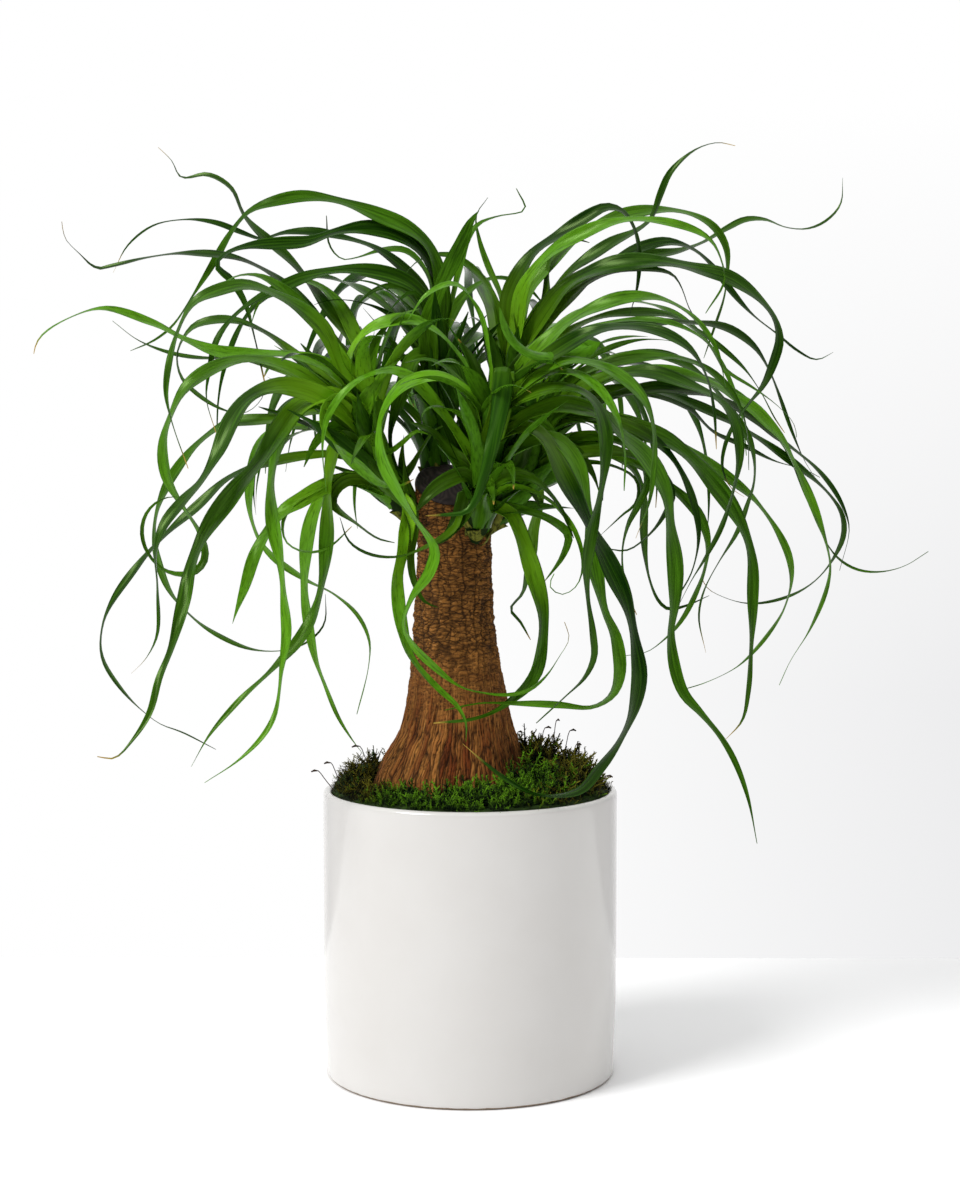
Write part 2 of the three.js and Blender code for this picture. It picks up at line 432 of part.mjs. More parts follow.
// The pot: a straight cylinder with a rounded rim and a small bevel at the foot.
function potGeometry() {
  const inner = POT_RADIUS - POT_WALL;
  const rimRound = POT_WALL / 2;
  const profile = [
    [0, 0],
    [POT_RADIUS - 5, 0],
    [POT_RADIUS - 2.5, 1.6],
    [POT_RADIUS - 1.6, 6],
    [POT_RADIUS, POT_HEIGHT - 40],
    [POT_RADIUS, POT_HEIGHT - rimRound],
    [POT_RADIUS - 0.9, POT_HEIGHT - 0.9],
    [POT_RADIUS - rimRound, POT_HEIGHT],
    [inner + 0.9, POT_HEIGHT - 0.9],
    [inner, POT_HEIGHT - rimRound],
    [inner, POT_FLOOR + 4],
    [inner - 4, POT_FLOOR],
    [0, POT_FLOOR],
  ];
  const points = profile.map(([radius, height]) => new THREE.Vector2(radius, height));
  const turned = new THREE.LatheGeometry(points, POT_SIDES);
  turned.rotateX(Math.PI / 2);
  return turned;
}

// The trunk's centre and radius at a height, from its outline.
function trunkAt(height) {
  const outline = TRUNK_OUTLINE;
  let upper = outline.findIndex((row) => row[0] >= height);
  if (upper < 0) upper = outline.length - 1;
  if (upper === 0) upper = 1;
  const [lowZ, lowLeft, lowRight] = outline[upper - 1];
  const [highZ, highLeft, highRight] = outline[upper];
  const share = THREE.MathUtils.clamp((height - lowZ) / (highZ - lowZ), 0, 1);
  const left = lowLeft + (highLeft - lowLeft) * share;
  const right = lowRight + (highRight - lowRight) * share;
  return { x: (left + right) / 2, radius: (right - left) / 2 };
}

// Buttress ridges swell the foot of the trunk and die out towards the top.
function ridge(angle, height) {
  const strength = 0.015 + 0.05 * (1 - smooth(height, 190, 300));
  return 1 + strength * (0.6 * Math.cos(7 * angle + 0.6) + 0.4 * Math.cos(4 * angle + 2.1));
}

function cutPlane(x, y) {
  return CUT_HEIGHT + CUT_SLOPE * y - 0.1 * (x + 13);
}

function trunkRing(height, grow, share = 1) {
  const { x, radius } = trunkAt(height);
  const ring = [];
  for (let side = 0; side < TRUNK_SIDES; side++) {
    const angle = (side / TRUNK_SIDES) * Math.PI * 2;
    const reach = radius * ridge(angle, height) * share + grow;
    ring.push([x + reach * Math.cos(angle), reach * Math.sin(angle), height]);
  }
  return ring;
}

function trunkGeometry(grow = 0) {
  const rings = TRUNK_OUTLINE.map(([height]) => trunkRing(height, grow));
  if (grow) rings[0].forEach((point) => (point[2] -= grow));
  const cut = trunkRing(378, grow, 0.98);
  cut.forEach((point) => (point[2] = cutPlane(point[0], point[1]) + grow));
  return loft([...rings, cut]);
}

// The sealed cut on top of the trunk: a thin dark dome that follows the slope of the cut.
function cutCapGeometry(grow = 0) {
  const layers = [
    [0.95, SEAT_GAP],
    [0.92, 2.4],
    [0.6, CUT_DOME - 0.9],
    [0.2, CUT_DOME],
  ];
  const rings = layers.map(([share, lift]) => {
    const ring = trunkRing(378, grow, share);
    ring.forEach((point) => (point[2] = cutPlane(point[0], point[1]) + lift + grow));
    return ring;
  });
  if (grow) rings[0].forEach((point) => (point[2] -= grow + SEAT_GAP));
  return loft(rings);
}

// Moss lies as a low mound on the soil: level with the rim in front, higher behind and at the right.
function mossHeight(x, y) {
  const reach = Math.hypot(x, y) / (POT_RADIUS - POT_WALL);
  const rise = MOSS_FRONT_RISE + MOSS_BACK_RISE * smooth(y, -15, 25);
  const leftClump = 8 * Math.exp(-((x + 76) ** 2 + (y - 12) ** 2) / 290);
  const rightClump = 15 * Math.exp(-((x - 42) ** 2 + (y + 10) ** 2) / 1100);
  return MOSS_RIM_HEIGHT + rise * (1 - reach ** 2.4) + leftClump + rightClump;
}

function mossGeometry(trunkRoom) {
  const sides = 30;
  const outer = POT_RADIUS - POT_WALL - SEAT_GAP;
  const radii = [1, 0.99, 0.86, 0.7, 0.54, 0.3, 0.05];
  const rings = radii.map((share, index) => {
    const ring = [];
    for (let side = 0; side < sides; side++) {
      const angle = (side / sides) * Math.PI * 2;
      const x = outer * share * Math.cos(angle);
      const y = outer * share * Math.sin(angle);
      const lump = index > 1 ? 1.6 * Math.sin(5 * angle + index * 2.1) : 0;
      const top = index ? mossHeight(x, y) + lump - (index === 1 ? 4 : 0) : SOIL_TOP + SEAT_GAP;
      ring.push([x, y, top]);
    }
    return ring;
  });
  return geometryFrom(solidOf(loft(rings)).subtract(trunkRoom));
}

// Soil fills the pot below the moss, with a plain hole where the trunk stands.
function soilGeometry(trunkRoom) {
  const outer = POT_RADIUS - POT_WALL - SEAT_GAP;
  const low = POT_FLOOR + SEAT_GAP;
  const profile = [
    [0, low],
    [outer - 5, low],
    [outer, low + 5],
    [outer, SOIL_TOP],
    [0, SOIL_TOP],
  ];
  const points = profile.map(([radius, height]) => new THREE.Vector2(radius, height));
  const turned = new THREE.LatheGeometry(points, 36);
  turned.rotateX(Math.PI / 2);
  return geometryFrom(solidOf(turned).subtract(trunkRoom));
}

// A head's stem as a curve, and the point on it nearest a wanted height.
function stemCurve(name) {
  return new THREE.CatmullRomCurve3(STEMS[name].map(([x, y, z]) => new THREE.Vector3(x, y, z)));
}

function stemPoint(name, height) {
  const curve = stemCurve(name);
  let best = curve.getPoint(0.35);
  for (let share = 0.35; share <= 0.96; share += 0.05) {
    const point = curve.getPoint(share);
    if (Math.abs(point.z - height) < Math.abs(best.z - height)) best = point;
  }
  return best;
}

function stemGeometry(name) {
  const sides = 8;
  const curve = stemCurve(name);
  const rows = STEMS[name];
  const rings = rows.map(([, , , radius], index) => {
    const share = index / (rows.length - 1);
    const centre = curve.getPoint(share);
    const along = curve.getTangent(share);
    const right = new THREE.Vector3(0, 1, 0).cross(along).normalize();
    const front = along.clone().cross(right);
    const ring = [];
    for (let side = 0; side < sides; side++) {
      const angle = (side / sides) * Math.PI * 2;
      const point = centre
        .clone()
        .addScaledVector(right, radius * Math.cos(angle))
        .addScaledVector(front, radius * Math.sin(angle));
      ring.push(point.toArray());
    }
    return ring;
  });
  return loft(rings);
}

// Moves a point drawn on the upright plane along the line of sight to depth y.
function atDepth(x, z, y) {
  const scale = 1 + y / -EYE.y;
  return new THREE.Vector3(EYE.x + (x - EYE.x) * scale, y, EYE.z + (z - EYE.z) * scale);
}

// And back: where a point is seen on that plane.
function seenAt(point) {
  const scale = 1 + point.y / -EYE.y;
  return [EYE.x + (point.x - EYE.x) / scale, EYE.z + (point.z - EYE.z) / scale];
}

// Depth along a leaf: a smooth curve through its values at root, middle and tip.
function depthAlong([root, middle, tip], share) {
  return (
    root * (1 - share) * (1 - 2 * share) + middle * 4 * share * (1 - share) + tip * share * (2 * share - 1)
  );
}

// Half the blade's width: narrow where it clasps the stem, and drawn out to a thread at the tip.
function halfWidth(leaf, share) {
  const root = ROOT_SHARE + (1 - ROOT_SHARE) * smooth(share, 0, 0.16);
  const taper = 1 - share ** (leaf.blunt ? 9 : 2.3);
  return (leaf.wide * root * taper + TIP_WIDTH) / 2;
}

// Shares of a curve's length at which the blade gets a section, closer where it bends.
function sectionShares(curve) {
  const fine = 90;
  const points = curve.getSpacedPoints(fine);
  const cost = [0];
  for (let step = 1; step <= fine; step++) {
    const ahead = points[Math.min(step + 1, fine)].clone().sub(points[step]);
    const behind = points[step].clone().sub(points[step - 1]);
    const turn = step < fine ? ahead.angleTo(behind) : 0;
    cost.push(cost[step - 1] + behind.length() / SECTION_LENGTH + turn / rad(SECTION_TURN));
  }
  const sections = THREE.MathUtils.clamp(Math.round(cost[fine]), 3, MOST_SECTIONS);
  const shares = [];
  for (let section = 0; section <= sections; section++) {
    const wanted = (cost[fine] * section) / sections;
    let step = cost.findIndex((value) => value >= wanted - 1e-9);
    if (step < 1) step = 1;
    const part = (wanted - cost[step - 1]) / (cost[step] - cost[step - 1]);
    shares.push(Math.min(1, (step - 1 + part) / fine));
  }
  return shares;
}

// Sections of a leaf: centre, direction, width direction, upper side, half width, thickness.
function sectionsOf(leaf, curve, widthDirection) {
  return sectionShares(curve).map((share) => {
    const centre = curve.getPointAt(share);
    const along = curve.getTangentAt(share);
    const across = widthDirection(share, along);
    across.addScaledVector(along, -across.dot(along)).normalize();
    const up = along.clone().cross(across);
    const half = halfWidth(leaf, share);
    return { centre, across, up, half, thickness: Math.max(0.6, BLADE_THICKNESS * (1 - share * 0.5)) };
  });
}

// A leaf in view, at its depths plus a swing.
function leafInView(name, leaf, swing) {
  const flat = [];
  for (let index = 0; index < leaf.route.length; index += 2) {
    flat.push(new THREE.Vector3(leaf.route[index], 0, leaf.route[index + 1]));
  }
  const root = stemPoint(name, flat[0].z - 18);
  const [rootX, rootZ] = seenAt(root);
  flat.unshift(new THREE.Vector3(rootX, 0, rootZ));
  const drawn = new THREE.CatmullRomCurve3(flat, false, "centripetal");
  const depths = [root.y, leaf.depth[1] + swing * 0.75, leaf.depth[2] + swing];
  const steps = flat.length * 4;
  const placed = [];
  for (let step = 0; step <= steps; step++) {
    const share = step / steps;
    const point = drawn.getPointAt(share);
    placed.push(atDepth(point.x, point.z, depthAlong(depths, share)));
  }
  const curve = new THREE.CatmullRomCurve3(placed, false, "centripetal");
  const side = Math.sign(flat[Math.floor(flat.length / 2)].x - rootX) || 1;
  return sectionsOf(leaf, curve, (share, along) => {
    if (leaf.across) return new THREE.Vector3(-1, 0, 0);
    const seen = leaf.seen[0] + (leaf.seen[1] - leaf.seen[0]) * share;
    const level = Math.hypot(along.x, along.z) || 1;
    const hidden = side * Math.sqrt(1 - seen * seen);
    return new THREE.Vector3((-along.z / level) * seen, hidden, (along.x / level) * seen);
  });
}

// A leaf that follows the rule: it leaves the stem steeply, arches over and hangs.
function leafByRule(fill, turn, random) {
  const bearing = rad(fill.from + fill.sweep * ((turn + random()) / fill.count));
  const length = fill.short + (fill.long - fill.short) * random();
  const launch = rad(fill.rise + 14 * (random() - 0.5));
  const droop = rad(fill.droop + 30 * (random() - 0.5));
  const sway = rad(FILL_SWAY * (random() - 0.5));
  const roll = rad(FILL_ROLL * (random() - 0.5));
  const wide = FILL_WIDTHS[0] + (FILL_WIDTHS[1] - FILL_WIDTHS[0]) * random();
  const leaf = { wide };
  const point = stemPoint(fill.head, fill.root + FILL_ROOTS * random());
  const placed = [point.clone()];
  const step = length / FILL_STEPS;
  for (let index = 1; index <= FILL_STEPS; index++) {
    const share = index / FILL_STEPS;
    const slope = launch - droop * share ** 1.15;
    const heading = bearing + sway * share * share;
    const level = Math.cos(slope) * step;
    point.x += Math.cos(heading) * level;
    point.y += Math.sin(heading) * level;
    point.z += Math.sin(slope) * step;
    placed.push(point.clone());
  }
  const curve = new THREE.CatmullRomCurve3(placed, false, "centripetal");
  return sectionsOf(leaf, curve, (share, along) => {
    const heading = bearing + sway * share * share;
    const level = new THREE.Vector3(-Math.sin(heading), Math.cos(heading), 0);
    return level.applyAxisAngle(along, roll * share);
  });
}

// Nearest points of two straight pieces: their distance and the direction between them.
function nearest(a0, a1, b0, b1) {
  const u = a1.clone().sub(a0);
  const v = b1.clone().sub(b0);
  const w = a0.clone().sub(b0);
  const uu = u.dot(u);
  const uv = u.dot(v);
  const vv = v.dot(v);
  const uw = u.dot(w);
  const vw = v.dot(w);
  const clamp = (value) => THREE.MathUtils.clamp(value, 0, 1);
  const span = uu * vv - uv * uv;
  let s = span > 1e-9 ? clamp((uv * vw - vv * uw) / span) : 0;
  const t = clamp((uv * s + vw) / vv);
  s = clamp((uv * t - uw) / uu);
  const between = w.addScaledVector(u, s).addScaledVector(v, -t);
  return { distance: between.length(), between: between.normalize() };
}

// How far a blade's section reaches in a direction.
function reachOf(section, direction) {
  const sideways = section.half * Math.abs(section.across.dot(direction));
  return sideways + (section.thickness + section.half * BLADE_CHANNEL) * Math.abs(section.up.dot(direction));
}

// Room between two leaves, below zero where they would touch.
function roomBetween(first, second) {
  let room = Infinity;
  for (let i = 0; i + 1 < first.length; i++) {
    for (let j = 0; j + 1 < second.length; j++) {
      const a = first[i];
      const b = second[j];
      const reach = a.half + b.half + 80;
      if (a.centre.distanceTo(b.centre) > reach + 60) continue;
      const { distance, between } = nearest(a.centre, first[i + 1].centre, b.centre, second[j + 1].centre);
      const needed =
        Math.max(reachOf(a, between), reachOf(first[i + 1], between)) +
        Math.max(reachOf(b, between), reachOf(second[j + 1], between));
      room = Math.min(room, distance - needed);
    }
  }
  return room;
}

// Room to the trunk, its cut, the moss and the pot, from each section past the root.
function roomToBody(sections) {
  let room = Infinity;
  for (const { centre, half } of sections.slice(2)) {
    const { x, radius } = trunkAt(centre.z);
    const away = Math.hypot(centre.x - x, centre.y);
    if (centre.z < 420) room = Math.min(room, away - radius * 1.05 - half - 1);
    const fromAxis = Math.hypot(centre.x, centre.y);
    if (fromAxis < POT_RADIUS + half) {
      const cover = fromAxis < POT_RADIUS - 4 ? mossHeight(centre.x, centre.y) + 2 : 0;
      const ground = Math.max(POT_HEIGHT, cover);
      const above = centre.z - ground - half * 0.6 - 1;
      room = Math.min(room, Math.max(above, fromAxis - POT_RADIUS - half - 1));
    }
  }
  return room;
}

// Places every leaf in turn, each clear of the trunk, the pot and the other heads' leaves.
function placeLeaves() {
  const placed = [];
  const roomFor = (name, sections) => {
    let room = roomToBody(sections);
    for (const other of placed) {
      if (other.name !== name) room = Math.min(room, roomBetween(sections, other.sections));
    }
    return room;
  };
  for (const name of Object.keys(ROUTES)) {
    for (const leaf of ROUTES[name]) {
      let best = null;
      for (const swing of SWINGS) {
        const sections = leafInView(name, leaf, swing);
        const room = roomFor(name, sections);
        if (!best || room > best.room) best = { name, sections, room };
        if (room > LEAF_GAP) break;
      }
      placed.push(best);
    }
  }
  const random = randomFrom(FILL_SEED);
  for (const fill of FILLS) {
    for (let turn = 0; turn < fill.count; turn++) {
      for (let attempt = 0; attempt < FILL_TRIES; attempt++) {
        const sections = leafByRule(fill, turn, random);
        const room = roomFor(fill.head, sections);
        if (room > LEAF_GAP) {
          placed.push({ name: fill.head, sections, room });
          break;
        }
      }
    }
  }
  return placed;
}

// The blade's solid: four points a section, with both faces split along the same diagonals.
function bladeGeometry(sections) {
  const points = [];
  for (const { centre, across, up, half, thickness } of sections) {
    const edgeLift = half * BLADE_CHANNEL;
    const left = centre.clone().addScaledVector(across, half).addScaledVector(up, edgeLift);
    const right = centre.clone().addScaledVector(across, -half).addScaledVector(up, edgeLift);
    const under = centre.clone().addScaledVector(up, -thickness);
    points.push(left.toArray(), centre.toArray(), right.toArray(), under.toArray());
  }
  const faces = [];
  for (let section = 0; section + 1 < sections.length; section++) {
    const [left, top, right, under] = [0, 1, 2, 3].map((corner) => section * 4 + corner);
    faces.push([left, top, top + 4], [left, top + 4, left + 4]);
    faces.push([top, right, right + 4], [top, right + 4, top + 4]);
    faces.push([left, under + 4, under], [left, left + 4, under + 4]);
    faces.push([under, right + 4, right], [under, under + 4, right + 4]);
  }
  const end = (sections.length - 1) * 4;
  faces.push([0, 3, 1], [1, 3, 2]);
  faces.push([end, end + 1, end + 3], [end + 1, end + 2, end + 3]);
  return geometryOf(points, faces);
}

// Materials by eye from the real plant and pot.
const glaze = new THREE.MeshStandardMaterial({ color: 0xf1efec, roughness: 0.25, metalness: 0 });
const earth = new THREE.MeshStandardMaterial({ color: 0x2b1d14, roughness: 0.95, metalness: 0 });
const mossGreen = new THREE.MeshStandardMaterial({ color: 0x3f5a14, roughness: 0.95, metalness: 0 });
const bark = new THREE.MeshStandardMaterial({ color: 0x7a4a28, roughness: 0.9, metalness: 0 });
const sealedCut = new THREE.MeshStandardMaterial({ color: 0x32292a, roughness: 0.6, metalness: 0 });
const leafGreen = new THREE.MeshStandardMaterial({ color: 0x2f6d1a, roughness: 0.4, metalness: 0 });

function named(name, geometry, material) {
  const mesh = new THREE.Mesh(geometry, material);
  mesh.name = name;
  return mesh;
}

const trunkRoom = solidOf(trunkGeometry(SEAT_GAP));
const bodyRoom = trunkRoom.add(solidOf(cutCapGeometry(SEAT_GAP)));
const leaves = placeLeaves();

const group = new THREE.Group();
group.add(named("pot", potGeometry(), glaze));
group.add(named("soil", soilGeometry(trunkRoom), earth));
group.add(named("moss", mossGeometry(trunkRoom), mossGreen));
group.add(named("trunk", trunkGeometry(), bark));
group.add(named("cut_cap", cutCapGeometry(), sealedCut));
for (const name of Object.keys(STEMS)) {
  const blades = leaves.filter((leaf) => leaf.name === name);
  const solids = blades.map((leaf) => solidOf(bladeGeometry(leaf.sections)));
  const joined = wasm.Manifold.union([solidOf(stemGeometry(name)), ...solids]);
  const head = largestBody(joined.asOriginal().simplify(JOIN_TOLERANCE).subtract(bodyRoom));
  group.add(named(`head_${name}`, geometryFrom(head), leafGreen));
}

export default group;
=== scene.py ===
"""A ponytail palm: a corky stump with five heads of strap leaves, mossed over in a white glazed pot.

Lengths in the tables are millimetres, +Z is up, and the origin is the middle of the pot's underside.
"""

import math

import bpy
import numpy as np
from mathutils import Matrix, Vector, noise


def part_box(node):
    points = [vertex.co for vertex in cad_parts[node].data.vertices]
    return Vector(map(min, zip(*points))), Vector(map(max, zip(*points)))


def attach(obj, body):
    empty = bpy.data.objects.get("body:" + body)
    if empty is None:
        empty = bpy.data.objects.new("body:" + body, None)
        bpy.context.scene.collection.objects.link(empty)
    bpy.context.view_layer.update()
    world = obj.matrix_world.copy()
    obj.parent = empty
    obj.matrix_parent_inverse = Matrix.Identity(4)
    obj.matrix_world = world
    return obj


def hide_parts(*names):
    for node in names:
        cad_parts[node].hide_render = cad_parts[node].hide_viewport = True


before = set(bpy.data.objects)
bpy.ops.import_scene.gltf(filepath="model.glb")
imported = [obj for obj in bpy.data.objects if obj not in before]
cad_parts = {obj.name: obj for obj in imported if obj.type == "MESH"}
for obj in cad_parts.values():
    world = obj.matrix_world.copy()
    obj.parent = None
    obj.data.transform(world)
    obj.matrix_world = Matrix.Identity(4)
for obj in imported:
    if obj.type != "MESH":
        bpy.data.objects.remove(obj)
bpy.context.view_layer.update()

bl_info = {
    "name": "Potted ponytail palm",
    "version": (1, 0, 0),
    "blender": (4, 5, 0),
    "location": "3D View > Sidebar > Palm",
    "description": "Builds the plant, its moss and its pot around the packed model",
    "category": "Object",
}

MM = 0.001

# The pot, from the frame, and what the solids inside it were drawn to.
POT_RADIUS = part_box("pot")[1].x / MM
POT_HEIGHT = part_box("pot")[1].z / MM
SOIL_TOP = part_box("soil")[1].z / MM
POT_WALL = 6
POT_FLOOR = 8
MOSS_RIM_HEIGHT = 195
MOSS_MEETS_TRUNK = 198
MOSS_FRONT_RISE = 3
MOSS_BACK_RISE = 16
SEAT_GAP = 0.3

# The trunk's outline seen from the front: height, left edge, right edge.
TRUNK_OUTLINE = [
    (172, -64, 38), (186, -69, 42), (198, -68, 40), (209, -64, 38),
    (220, -57.5, 34), (235, -49, 30), (252, -44.5, 26), (270, -42, 23),
    (293, -39.5, 19), (318, -38, 16), (340, -36, 14.5), (360, -36.5, 14.5),
    (378, -38, 12.5),
]

# Buttress ridges: how many go round, their turn, and their share of the swell.
RIDGES = [(7, 0.6, 0.6), (4, 2.1, 0.4)]

# The sealed cut: its height at a middle x, its slope up to the back and down to the right, its dome.
CUT_HEIGHT = 401
CUT_MIDDLE = -13
CUT_SLOPE = 0.5
CUT_TILT = 0.1
CUT_DOME = 5.5

# Clumps that rise out of the moss: x, y, height and spread.
MOSS_CLUMPS = [(-76, 12, 8, 290), (42, -10, 15, 1100)]

# Each head's short stem: x, y, z and radius from its seat on the trunk to its growing tip.
STEMS = {
    "front": [(3, -16, 364, 9), (6, -30, 384, 10.5), (9, -36, 408, 9), (14, -38, 434, 6)],
    "left": [(-30, -2, 374, 9), (-46, -5, 392, 11), (-60, -7, 412, 10), (-68, -8, 438, 6)],
    "right": [(6, 6, 372, 9), (24, 10, 388, 10.5), (38, 12, 408, 9.5), (47, 12, 436, 6)],
    "centre": [(-22, 20, 392, 9), (-24, 28, 412, 10.5), (-24, 32, 440, 9.5), (-22, 33, 470, 6)],
    "back": [(2, 18, 388, 9), (12, 30, 410, 10.5), (20, 36, 440, 9.5), (28, 38, 472, 6)],
}
# The marks along a stem at which a leaf may root.
STEM_MARKS = 0.35 + 0.05 * np.arange(13)

